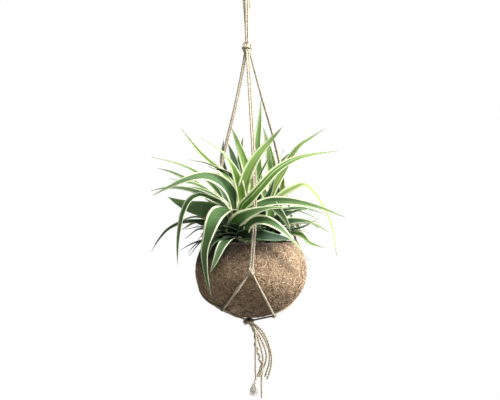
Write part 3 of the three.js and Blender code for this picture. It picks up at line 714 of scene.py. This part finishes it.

# Variegated leaf: living leaf with a waxy skin, deep to yellowish green with cream margins and fine
# veins along it. It shines softly and lets some light through. Its greens run from leaves in the shade
# to young ones in the sun: besides the leaves' own colour, the darker greens are painted shade and the
# yellower ones painted sunlight.
leaf_faces = {}
for face, (greens, fresh, cream, gloss) in {
        "upper": (("#2f4834", "#6c9163", "#88b438", "#c3d67f"), "#4f6f3e", "#fffdea", 0.48),
        "under": (("#304b2e", "#5a804a", "#7ba83c", "#aecb78"), "#46683a", "#eef0cd", 0.6)}.items():
    leaf_faces[face], tree = new_material(f"variegated_leaf_{face}")
    blade_map = add_node(tree, "ShaderNodeUVMap", {}, uv_map="blade")
    spot = add_node(tree, "ShaderNodeSeparateXYZ", {"Vector": blade_map}).outputs
    tint_and_shade, margin, shift, streak, streak_place = (
        add_node(tree, "ShaderNodeAttribute", {}, attribute_name=name).outputs["Fac"]
        for name in ("tint_and_shade", "margin", "shift", "streak", "streak_place"))
    shifted = add_node(tree, "ShaderNodeCombineXYZ", {"X": shift, "Y": shift, "Z": shift})
    own_place = add_node(tree, "ShaderNodeVectorMath", {0: blade_map, 1: shifted}, operation="ADD")
    vein_place = add_node(tree, "ShaderNodeMapping", {"Vector": own_place, "Scale": (26, 1.2, 1)})
    veins = add_node(tree, "ShaderNodeTexNoise", {"Vector": vein_place, "Scale": 1, "Detail": 3})
    band_place = add_node(tree, "ShaderNodeMapping", {"Vector": own_place, "Scale": (7, 2.2, 1)})
    bands = add_node(tree, "ShaderNodeTexNoise", {"Vector": band_place, "Scale": 1, "Detail": 1})
    shade = add_node(tree, "ShaderNodeMath", {0: bands, 1: 0.28, 2: tint_and_shade}, operation="MULTIPLY_ADD")
    shade = add_node(tree, "ShaderNodeMath", {0: shade, 1: 0.2}, operation="SUBTRACT")
    green = add_node(tree, "ShaderNodeValToRGB", {"Fac": shade}, stops=zip((0, 0.3, 0.7, 1), greens))
    vein_shade = add_node(tree, "ShaderNodeValToRGB", {"Fac": veins},
                          stops=((0.3, "#d8d8d8"), (0.65, "#ffffff")))
    veined = add_node(tree, "ShaderNodeMix", {0: 1, 6: green, 7: vein_shade},
                      data_type="RGBA", blend_type="MULTIPLY")
    streak_share = add_node(tree, "ShaderNodeMath", {0: spot["X"], 1: streak_place}, operation="SUBTRACT")
    streak_share = add_node(tree, "ShaderNodeMath", {0: streak_share}, operation="ABSOLUTE")
    streak_share = add_node(tree, "ShaderNodeMapRange", {"Value": streak_share, "From Min": 0.02,
                                                         "From Max": 0.06, "To Min": 1, "To Max": 0})
    streak_share = add_node(tree, "ShaderNodeMath", {0: streak_share, 1: streak}, operation="MULTIPLY")
    streaked = add_node(tree, "ShaderNodeMix", {0: streak_share, 6: veined, 7: paint(cream)},
                        data_type="RGBA")
    # The margins end raggedly, along the veins. On leaves with a low tint they are painted a dull green,
    # as painted shade.
    from_edge = add_node(tree, "ShaderNodeMath", {0: spot["X"], 1: 0.5}, operation="SUBTRACT")
    from_edge = add_node(tree, "ShaderNodeMath", {0: from_edge}, operation="ABSOLUTE")
    from_edge = add_node(tree, "ShaderNodeMath", {0: 0.5, 1: from_edge}, operation="SUBTRACT")
    ragged = add_node(tree, "ShaderNodeMath", {0: veins, 1: 0.09, 2: from_edge}, operation="MULTIPLY_ADD")
    green_share = add_node(tree, "ShaderNodeMath", {0: ragged, 1: margin}, operation="SUBTRACT")
    green_share = add_node(tree, "ShaderNodeMapRange",
                           {"Value": green_share, "From Min": 0.025, "From Max": 0.06})
    margin_tone = add_node(tree, "ShaderNodeValToRGB", {"Fac": tint_and_shade},
                           stops=((0.02, "#5f7d5c"), (0.12, "#b9c9a6"), (0.28, cream)))
    colour = add_node(tree, "ShaderNodeMix", {0: green_share, 6: margin_tone, 7: streaked},
                      data_type="RGBA")
    # The sheath at the root is a fresh green and the very tip dry. The outer part turns greyer, and on
    # leaves with a low tint a darker green, as painted shade.
    # Leaves with wide cream margins stay paler to the tip.
    tip_share = add_node(tree, "ShaderNodeMapRange", {"Value": margin, "From Min": 0.2, "From Max": 0.26,
                                                      "To Min": 0.6, "To Max": 0.25})
    tip_green = add_node(tree, "ShaderNodeValToRGB", {"Fac": tint_and_shade},
                         stops=((0.04, "#3f5a41"), (0.22, "#768d5c")))
    for first, last, share_before, share_after, other in (
            (0.02, 0.15, 0.7, 0, paint(fresh)), (0.5, 0.95, 0, tip_share, tip_green),
            (0.95, 0.995, 0, 0.7, paint("#8d7d5c"))):
        share = add_node(tree, "ShaderNodeMapRange",
                         {"Value": spot["Y"], "From Min": first, "From Max": last,
                          "To Min": share_before, "To Max": share_after})
        colour = add_node(tree, "ShaderNodeMix", {0: share, 6: colour, 7: other}, data_type="RGBA")
    leaf_bump = add_node(tree, "ShaderNodeBump", {"Height": veins, "Strength": 0.35, "Distance": 0.0004})
    skin = add_node(tree, "Principled BSDF", {"Base Color": colour, "Normal": leaf_bump,
                                              "Roughness": gloss, "Specular IOR Level": 0.35})
    through = add_node(tree, "ShaderNodeBsdfTranslucent", {"Color": colour})
    lit = add_node(tree, "ShaderNodeMixShader", {0: 0.38, 1: skin, 2: through})
    add_node(tree, "Material Output", {"Surface": lit})

# Each leaf in view: crown, width, how far in degrees it is turned from the viewer at evenly spaced points
# from the root to the tip, its tint, which gives its own yellowish green and also painted shade at the
# low end and painted sunlight at the high end, and the places that its middle passes.
leaves_in_view = [
    # The front crown: the long arches, and the leaves that bend over the rim to the viewer.
    ("front", 13, (5, 5, 10, 70, 85), 0.75, [(-11, -39, 46), (-13, -47, 66), (-18, -53, 86),
        (-26, -57, 104), (-39, -62, 121), (-66, -72, 138)]),
    ("front", 17, (5, 5, 10), 0.85, [(-5, -22, 53), (-1, -20, 73), (-4, -20, 93), (-11, -22, 115),
        (-20, -24, 139), (-27, -24, 156)]),
    ("front", 18, (-15, -28, -20), 0.85, [(-12, -34, 50), (-10, -45, 72), (-4, -55, 94), (8, -60, 115),
        (25, -60, 135), (42, -64, 154)]),
    ("front", 14, (5, 25, 55), 0.65, [(-13, -46, 44), (-1, -68, 59), (14, -71, 76), (35, -69, 98),
        (63, -64, 113), (115, -52, 122)]),
    ("left", 20, (5, 5, 15, 55, 60), 0.42, [(-26, -26, 14), (-20, -48, 28), (-9, -68, 36), (8, -79, 43),
        (27, -85, 47), (49, -86, 46)]),
    ("front", 13, (40, 20, 5, 65, 85), 0.3, [(-7, -48, 14), (-3, -66, 25), (6, -75, 31), (21, -79, 30),
        (36, -77, 22), (52, -72, 7), (76, -62, -23)]),
    ("front", 13, (100, 90, 20, 10, 10), 0.2, [(-23, -40, 6), (-32, -55, 4), (-39, -66, -4),
        (-47, -73, -23), (-54, -75, -39)]),
    ("front", 16, (10, 10, 20), 0.03, [(-15, -44, 9), (0, -54, 12), (18, -56, 10), (37, -50, 7),
        (55, -40, 4)]),
    ("front", 19, (10, 35, 60), 0.3, [(-20, -38, 49), (-25, -45, 65), (-37, -53, 80), (-59, -61, 89),
        (-85, -68, 84), (-109, -72, 73), (-128, -74, 63)]),
    ("front", 21.5, (175, 150, 10, 50, 54, 60), 0.35, [(-20, -28, 18), (-19, -31, 34), (-24, -38, 44),
        (-35, -48, 45), (-45, -57, 39), (-52, -65, 25), (-56, -69, 11), (-61, -71, -11), (-59, -69, -40),
        (-52, -64, -71)]),
    ("front", 13, (15, 20, 40), 0.38, [(-11, -34, 37), (3, -38, 46), (20, -38, 54), (44, -40, 56),
        (68, -42, 53), (94, -44, 46), (125, -46, 34)]),
    ("front", 11, (40, 40, 50), 0.22, [(-34, -30, 48), (-51, -36, 58), (-69, -40, 67), (-93, -44, 73),
        (-114, -48, 73), (-133, -50, 69)]),
    ("front", 10, (50, 45, 0), 0.25, [(-35, -34, 49), (-51, -46, 58), (-68, -54, 64), (-81, -58, 58),
        (-90, -60, 41), (-95, -60, 17), (-97, -60, -6), (-97, -60, -29)]),
    # The right crown: upright leaves and the ones that spread over the right of the rim.
    ("right", 12, (15, 15, 55), 0.95, [(26, 4, 61), (34, 2, 80), (45, 2, 99), (55, 2, 117), (66, 3, 131),
        (82, 4, 142), (102, 6, 155)]),
    ("right", 12, (40, 30, 20), 1.15, [(26, 4, 46), (42, 2, 64), (57, -2, 73), (72, -6, 78), (85, -8, 68),
        (96, -10, 51), (106, -10, 30), (113, -10, 7), (116, -10, -19)]),
    ("right", 13, (30, 35, 65), 0.2, [(34, -6, 22), (51, -10, 28), (66, -14, 29), (80, -18, 27),
        (92, -20, 18)]),
    ("right", 6, (40, 60, 60), 0.1, [(37, -2, 15), (54, -4, 17), (69, -8, 20), (80, -10, 25),
        (89, -10, 31)]),
    ("right", 9, (20, 15, 30), 0.7, [(38, 8, 14), (55, 12, 13), (69, 14, 9), (81, 18, -2), (101, 20, -9)]),
    ("right", 9, (40, 50, 60), 0.15, [(30, 12, 32), (45, 14, 43), (61, 16, 46), (77, 20, 45),
        (100, 26, 38)]),
    ("right", 6, (50, 60, 60), 0.5, [(40, 16, 12), (55, 18, 15), (69, 20, 15), (80, 22, 11)]),
    ("right", 15, (10, 10, 10), 0.45, [(15, 18, 57), (11, 20, 84), (9, 22, 112), (9, 26, 136),
        (12, 30, 166), (14, 36, 199)]),
    ("right", 19, (10, 10, 10), 0.6, [(30, 20, 60), (30, 22, 83), (28, 24, 107), (24, 27, 130),
        (17, 32, 158)]),
    ("right", 7, (30, 30, 30), 0.7, [(8, 12, 68), (12, 10, 90), (21, 8, 108), (33, 4, 124)]),
    ("right", 14, (10, 15, 20), 0.3, [(26, 34, 67), (32, 40, 92), (43, 44, 111), (57, 46, 125)]),
    ("right", 12, (10, 10, 20), 0.12, [(15, -2, 38), (19, -6, 54), (26, -8, 69), (32, -8, 87)]),
    ("right", 11, (10, 10, 20), 0.05, [(34, 6, 35), (37, 6, 53), (38, 6, 66), (37, 6, 79)]),
    ("right", 14, (10, 10, 20), 0.95, [(34, 15, 40), (40, 17, 58), (43, 18, 75), (45, 18, 97)]),
    ("right", 4, (50, 50, 50), 0.4, [(29, 30, 79), (36, 26, 105), (46, 20, 127)]),
    # The left crown: the fan to the left, in front of the left leg and behind it.
    ("left", 11, (20, 20, 20), 0.6, [(-21, 4, 60), (-27, 10, 80), (-41, 14, 97), (-58, 18, 111),
        (-75, 22, 128), (-97, 28, 157)]),
    ("left", 9, (35, 40, 60), 0.4, [(-33, -4, 54), (-46, -8, 70), (-62, -14, 86), (-78, -18, 97),
        (-102, -26, 107), (-133, -32, 114)]),
    ("left", 9, (30, 30, 20), 0.35, [(-37, 4, 50), (-55, 8, 66), (-74, 10, 80), (-95, 12, 89),
        (-111, 16, 96), (-130, 20, 101)]),
    ("left", 9, (120, 120, 110), 0.3, [(-20, -8, 73), (-26, -12, 91), (-45, -16, 100), (-61, -18, 107),
        (-84, -20, 111)]),
    ("left", 10, (30, 40, 50), 0.35, [(-34, -8, 46), (-50, -14, 62), (-65, -18, 74), (-80, -22, 80),
        (-94, -24, 82), (-110, -26, 86)]),
    ("left", 12, (30, 35, 40), 0.22, [(-31, -18, 45), (-43, -26, 57), (-58, -30, 67), (-72, -32, 72),
        (-90, -34, 75)]),
    ("left", 25, (168, 172, 175), 0.4, [(-30, -10, 27), (-43, -14, 38), (-62, -20, 44), (-82, -22, 48),
        (-98, -24, 54), (-112, -24, 61)]),
    ("left", 8, (45, 45, 45), 0.1, [(-38, 3, 19), (-53, 4, 26), (-68, 4, 28), (-92, 6, 27),
        (-114, 12, 17), (-128, 16, 1), (-137, 20, -14)]),
    ("left", 4, (70, 70, 70), 0.1, [(-40, 20, 7), (-57, 22, 17), (-70, 23, 20), (-91, 22, 16)]),
    ("left", 4, (50, 50, 50), 0.08, [(-50, 14, 6), (-66, 14, 2), (-81, 13, -3), (-97, 12, -12)]),
    ("left", 4, (50, 50, 50), 0.08, [(-51, 6, 5), (-66, 5, 2), (-77, 4, -5), (-86, 4, -16)]),
    ("left", 3.5, (50, 50, 50), 0.08, [(-52, 10, 5), (-65, 12, 2.5), (-74, 11, -6), (-85, 10, -20)]),
    ("left", 16, (10, 10, 10), 0.3, [(-18, 26, 71), (-17, 28, 96), (-15, 34, 118), (-11, 40, 146)]),
    ("left", 20, (10, 10, 10), 0.08, [(-20, 18, 68), (-21, 18, 93), (-24, 21, 113), (-32, 23, 136)]),
    ("left", 13, (10, 10, 10), 0.08, [(-29, 26, 68), (-35, 30, 90), (-40, 34, 112), (-38, 38, 142)]),
    ("left", 14, (20, 20, 20), 0.06, [(-33, -2, 41), (-45, -6, 51), (-57, -8, 57), (-66, -10, 62)]),
    ("left", 15, (25, 25, 25), 0.12, [(-27, -16, 47), (-34, -19, 62), (-42, -22, 74), (-58, -26, 86)]),
    # The leaves behind those, mostly in their shade.
    ("middle", 16, (10, 10, 10), 0.12, [(0, 6, 46), (-1, 6, 66), (-3, 8, 84), (-6, 12, 108)]),
    ("right", 14, (10, 10, 10), 0.5, [(26, -6, 51), (19, -6, 65), (12, -4, 79), (5, 0, 94)]),
    ("front", 15, (0, 10, 10), 0.03, [(-24, -18, 14), (-32, -18, 27), (-38, -20, 41), (-36, -22, 56)]),
    ("front", 16, (10, 10, 10), 0.03, [(-14, -14, 14), (-11, -10, 30), (-5, -8, 46), (4, -8, 61)]),
    ("left", 13, (20, 20, 20), 0.02, [(-37, -6, 8), (-49, -8, 16), (-61, -10, 23), (-75, -12, 26)]),
    ("right", 14, (10, 20, 30), 0.03, [(23, -6, 13), (31, -12, 27), (45, -16, 38), (61, -18, 41)]),
    ("middle", 14, (10, 10, 10), 0.04, [(0, 2, 13), (3, 2, 32), (8, 2, 53), (15, 0, 71)]),
    ("front", 15, (30, 20, 10, 0, 0), 0.2, [(-1, -30, 31), (12, -32, 50), (25, -34, 52), (36, -46, 43),
        (43, -56, 34), (48, -63, 25), (52, -66, 14)]),
    ("left", 12, (30, 30, 30), 0.45, [(-30, -10, 46), (-43, -12, 58), (-58, -14, 70), (-73, -16, 79)]),
    ("left", 10, (25, 25, 25), 0.8, [(-26, -8, 54), (-34, -8, 68), (-45, -8, 80), (-56, -6, 90)]),
    # Small young leaves at the rim, too slight for the solid part.
    ("front", 10, (90, 60, 30, 20), 0.1, [(-32, -36, 6), (-43, -47, 6), (-52, -57, 0), (-57, -63, -12),
        (-59, -66, -25)]),
    ("front", 9, (60, 40, 30), 0.05, [(-30, -30, 9), (-40, -40, 13), (-50, -50, 9), (-58, -58, 0)]),
    ("left", 9, (50, 40, 30), 0.05, [(-39, -16, 8), (-50, -24, 10), (-59, -32, 5), (-67, -40, -6)]),
    ("front", 6, (20, 0, -20), 0.85, [(-15, -44, 6), (-11, -50, 3), (-6, -52, 7)]),
    ("front", 5, (0, 20, 60), 0.9, [(-15, -45, 5), (-10, -51, 3), (-7, -54, -1)]),
    ("left", 7, (60, 60, 60), 0.05, [(-18, -10, 65), (-24, -14, 85), (-39, -14, 95), (-58, -12, 102)]),
]

# Some leaves have a cream streak beside their middle: the leaf's number, how strong its streak is and the
# share of the width at which it runs.
streaks = {2: (0.25, 0.38), 3: (0.75, 0.64), 13: (0.6, 0.38), 14: (0.5, 0.38), 21: (0.7, 0.38),
           30: (0.5, 0.38), 53: (0.8, 0.38), 54: (1, 0.38)}
# The share of a leaf's width that its cream margin takes on each side, and how deep in mm its channel
# is, where they aren't the usual ones.
margins = {14: 0.25, 28: 0.26, 34: 0}
folds = {3: 3, 9: 2, 34: 1, 36: 1, 37: 1, 38: 1, 39: 1, 58: 0.8, 59: 0.8, 60: 1}

# The other leaves follow a rule: crown, count, direction in degrees, length, rise, bend and how yellow
# they are, with painted shade at the low end, each with the least and the most. The last six rows fill
# the shade over the rim with leaves painted dark as shade.
leaves_by_rule = [
    ("back", 7, (62, 118), (100, 150), (55, 78), (80, 150), (0.1, 0.5)),
    ("right", 4, (54, 82), (95, 140), (50, 75), (80, 150), (0.1, 0.5)),
    ("left", 4, (102, 129), (95, 140), (50, 75), (80, 150), (0.1, 0.5)),
    ("back", 3, (20, 40), (90, 130), (50, 70), (80, 130), (0.1, 0.5)),
    ("back", 3, (140, 160), (90, 130), (50, 70), (80, 130), (0.1, 0.5)),
    ("right", 3, (-12, 12), (70, 95), (50, 70), (70, 110), (0.1, 0.4)),
    ("left", 3, (170, 196), (70, 95), (50, 70), (70, 110), (0.1, 0.4)),
    ("back", 4, (50, 130), (85, 110), (78, 88), (20, 50), (0.2, 0.6)),
    ("front", 4, (190, 330), (42, 58), (45, 62), (50, 80), (0, 0.1)),
    ("left", 2, (160, 235), (42, 60), (42, 60), (50, 80), (0, 0.1)),
    ("right", 2, (-65, 15), (42, 60), (42, 60), (50, 80), (0, 0.1)),
    ("front", 7, (190, 350), (30, 46), (45, 70), (40, 80), (0, 0.1)),
    ("left", 6, (120, 250), (34, 50), (45, 70), (40, 80), (0, 0.1)),
    ("right", 6, (-80, 60), (34, 50), (45, 70), (40, 80), (0, 0.1)),
    ("back", 7, (10, 170), (34, 50), (45, 70), (40, 80), (0, 0.2)),
    ("front", 5, (160, 235), (40, 60), (15, 35), (30, 60), (0.03, 0.12)),
    ("left", 4, (150, 225), (38, 58), (35, 60), (50, 80), (0.02, 0.15)),
]
# The numbers of the rule come from the same draw as those of the solid leaves.
draw = 20611


def between(low, high):
    """A repeatable random number between low and high."""
    global draw
    draw = draw * 16807 % 2147483647
    return low + (high - low) * draw / 2147483647


def arched_places(crown, direction, length, rise, bend):
    """The places that an arching leaf passes."""
    places = []
    place = Vector((*crown, 4))
    toward = Vector((math.cos(math.radians(direction)), math.sin(math.radians(direction)), 0))
    for step in range(1, 13):
        angle = math.radians(rise - bend * (step / 12) ** 1.2)
        place = place + (toward * math.cos(angle) + Vector((0, 0, math.sin(angle)))) * length / 12
        if step % 4 == 0:
            places.append(tuple(place))
    return places


blade_steps = 37


def leaf_spine(crown, places, number):
    """A leaf's middle line. Its root stands in its crown, on the side that the leaf goes to."""
    direction = Vector((places[0][0] - crown[0], places[0][1] - crown[1]))
    direction *= min(crown_radius * (0.3 + 0.25 * (number % 3)), direction.length) / direction.length
    root = Vector((crown[0] + direction.x, crown[1] + direction.y, 1 - 1.5 * (number % 3)))
    return smooth_route([root, *(Vector(place) for place in places)], blade_steps)


def direction_at(spine, index):
    """The direction of a leaf's middle line at one of its points."""
    return (spine[min(index + 1, blade_steps - 1)] - spine[max(index - 1, 0)]).normalized()


def blade_share(u):
    """The share of a leaf's full width, from its root at 0 to its tip at 1."""
    if u < 0.38:
        return 0.4 + 0.6 * math.sin(u / 0.38 * math.pi / 2)
    return max(0.012, 1 - ((u - 0.38) / 0.62) ** 1.9)


def across_in_view(spine, turns):
    """The directions across a leaf in view: its broad face is to the viewer at 0, and lies up at 90."""
    heading = 1 if spine[-1].x > spine[0].x else -1
    reach = round(0.12 * (blade_steps - 1))
    across = []
    stretches = len(turns) - 1
    for index in range(blade_steps):
        gone = index / (blade_steps - 1) * stretches
        stretch = min(stretches - 1, int(gone))
        turn = turns[stretch] + (turns[stretch + 1] - turns[stretch]) * (gone - stretch)
        side = Vector()
        for near in (index - reach, index, index + reach):
            side += direction_at(spine, min(max(near, 0), blade_steps - 1)).cross(Vector((0, 1, 0)))
        across.append(Quaternion(direction_at(spine, index), -heading * math.radians(turn)) @ side)
    return across


def across_leaning(spine, lean):
    """The directions across a leaf that lies face up, leaned to one side."""
    away = spine[-1] - spine[0]
    level = Vector((-away.y, away.x, 0)).normalized()
    angle = math.copysign(math.radians(lean), away.x * lean)
    return [Quaternion(direction_at(spine, index), angle) @ level for index in range(blade_steps)]


bpy.ops.object.select_all(action="DESELECT")
bpy.ops.mesh.primitive_grid_add(x_subdivisions=10, y_subdivisions=blade_steps - 1, size=1)
blank = bpy.context.object
blank.data.uv_layers[0].name = "blade"
leaf_rng = random.Random(5)
tufts = {crown: [] for crown in crowns}


def shape_leaf(crown, spine, across, width, tint_and_shade, fold, margin, streak=(0, 0.38)):
    """Bends a copy of the flat blank along the leaf's route, with its channel and a slight wave."""
    phase = leaf_rng.uniform(0, 100)
    rows = []
    for index, (middle, side) in enumerate(zip(spine, across)):
        u = index / (blade_steps - 1)
        along = direction_at(spine, index)
        side = Quaternion(along, math.radians(5) * noise.noise(Vector((phase, u * 3, 0)))) @ side
        side = (side - along * along.dot(side)).normalized()
        rows.append((middle, side, along.cross(side), u))
    mesh = blank.data.copy()
    for vertex in mesh.vertices:
        middle, side, face, u = rows[round((vertex.co.y + 0.5) * (blade_steps - 1))]
        c = vertex.co.x * 2
        half = width * blade_share(u) / 2
        channel = fold * (1 - abs(c) ** 1.6) * min(1, blade_share(u) * 1.2) * (1.3 - 0.6 * u)
        wave = 0.05 * half * c * noise.noise(Vector((phase, u * 7, 3 + (1 if c > 0 else 0) * 5)))
        place = middle + side * half * c - face * (channel - wave * 2)
        vertex.co = (place + plant_middle) / 1000
    for name, value in (("tint_and_shade", tint_and_shade), ("margin", margin), ("streak", streak[0]),
                        ("streak_place", streak[1]), ("shift", phase)):
        attribute = mesh.attributes.new(name, "FLOAT", "POINT")
        attribute.data.foreach_set("value", [value] * len(mesh.vertices))
    piece = bpy.data.objects.new("leaf", mesh)
    scene.collection.objects.link(piece)
    tufts[crown].append(piece)


for number, (crown, width, turns, tint_and_shade, places) in enumerate(leaves_in_view):
    spine = leaf_spine(crowns[crown], places, number)
    margin = margins.get(number, leaf_rng.uniform(0.13, 0.16))
    shape_leaf(crown, spine, across_in_view(spine, turns), width, tint_and_shade, folds.get(number, 1.5), margin,
               streaks.get(number, (0, 0.38)))
for crown, count, (first, last), length, rise, bend, tints_and_shades in leaves_by_rule:
    for number in range(count):
        direction = first + (last - first) * (number + 0.5) / count
        places = arched_places(crowns[crown], direction, between(*length), between(*rise), between(*bend))
        spine = leaf_spine(crowns[crown], places, number)
        across = across_leaning(spine, between(-25, 25))
        shape_leaf(crown, spine, across, between(10, 16.8), leaf_rng.uniform(*tints_and_shades), 1.8,
                   leaf_rng.uniform(0.13, 0.16))
bpy.data.objects.remove(blank)

leaf_thickness = 0.0006
for crown, leaves in tufts.items():
    tuft = join(leaves, f"leaves_{crown}")
    tuft.data.materials.append(leaf_faces["upper"])
    tuft.data.materials.append(leaf_faces["under"])
    thickness = tuft.modifiers.new("thickness", "SOLIDIFY")
    thickness.thickness = leaf_thickness
    thickness.offset = -1
    thickness.material_offset = 1
    bpy.ops.object.modifier_apply(modifier=thickness.name)
    bpy.ops.object.shade_smooth()
    hand_in(tuft, "leaf", "spider_plant")

# Rootstock and crowns: a lumpy mass of roots in the soil, with the green sheathing bases of the
# leaves standing on it.

root_skin, tree = new_material("root_skin")
place = add_node(tree, "ShaderNodeTexCoord", {}).outputs["Object"]
rings = add_node(tree, "ShaderNodeTexNoise", {"Vector": place, "Scale": 300, "Detail": 3})
root_colour = add_node(tree, "ShaderNodeValToRGB", {"Fac": rings},
                       stops=((0.35, "#2f3a20"), (0.55, "#4a5a30"), (0.7, "#7c8a56")))
add_node(tree, "Principled BSDF", {"Base Color": root_colour, "Roughness": 0.6})

root_depth = 16.7
root_parts = []
bpy.ops.mesh.primitive_uv_sphere_add(
    segments=48, ring_count=16, radius=1, location=(plant_middle - Vector((0, 0, root_depth))) / 1000,
    scale=(0.038, 0.038, 0.0085))
root_parts.append(bpy.context.object)
for x, y in crowns.values():
    bpy.ops.mesh.primitive_cone_add(
        vertices=16, radius1=0.0075, radius2=0.0045, depth=0.022,
        location=(plant_middle + Vector((x, y, -4))) / 1000)
    root_parts.append(bpy.context.object)
rootstock = join(root_parts, "rootstock")
bpy.ops.object.transform_apply(location=True, rotation=True, scale=True)
roughen(rootstock, 0.006, 0.002, 1)
bpy.ops.object.shade_smooth()
rootstock.data.materials.append(root_skin)
hand_in(rootstock, "leaf")

# Studio: a plain pale floor far below the hanging planter, a broad soft light from the right and in
# front, weaker ones overhead and from the lower right, and one behind that shines through the leaves.

matt_white, tree = new_material("matt_white_floor")
add_node(tree, "Principled BSDF", {"Base Color": paint("#d8d7d3"), "Roughness": 0.9})
bpy.ops.mesh.primitive_circle_add(vertices=96, radius=4, fill_type="NGON", location=(0, 0, -1.9))
floor = bpy.context.object
floor.name = "floor"
floor.data.materials.append(matt_white)

for name, place, target, size, power in (
        ("key", (2.0, -0.45, 0.6), (0, 0, -0.38), 0.8, 160),
        ("overhead", (0.35, -0.6, 0.9), (0, 0, -0.3), 1.1, 34),
        ("bounce", (1.3, -0.7, -1.5), (0, 0, -0.4), 1.0, 7),
        ("behind", (-0.3, 1.5, 0.4), (0, 0, -0.3), 1.0, 22)):
    light = bpy.data.lights.new(name, "AREA")
    light.shape = "DISK"
    light.size = size
    light.energy = power
    lamp = bpy.data.objects.new(name, light)
    lamp.location = place
    lamp.rotation_euler = (Vector(target) - Vector(place)).to_track_quat("-Z", "Y").to_euler()
    scene.collection.objects.link(lamp)

world = bpy.data.worlds.new("studio")
world.use_nodes = True
tree = world.node_tree
way = add_node(tree, "ShaderNodeTexCoord", {}).outputs["Generated"]
way = add_node(tree, "ShaderNodeSeparateXYZ", {"Vector": way})
glow = add_node(tree, "ShaderNodeMapRange", {"Value": way.outputs["Z"], "From Min": -0.3, "From Max": 0.8,
                                             "To Min": 0.08, "To Max": 0.45})
# The camera sees plain white, and the object is lit by the weaker glow.
seen = add_node(tree, "ShaderNodeLightPath", {}).outputs["Is Camera Ray"]
strength = add_node(tree, "ShaderNodeMapRange", {"Value": seen, "To Min": glow, "To Max": 1})
add_node(tree, "Background", {"Color": (1, 1, 1, 1), "Strength": strength})
scene.world = world
scene.view_settings.view_transform = "Standard"
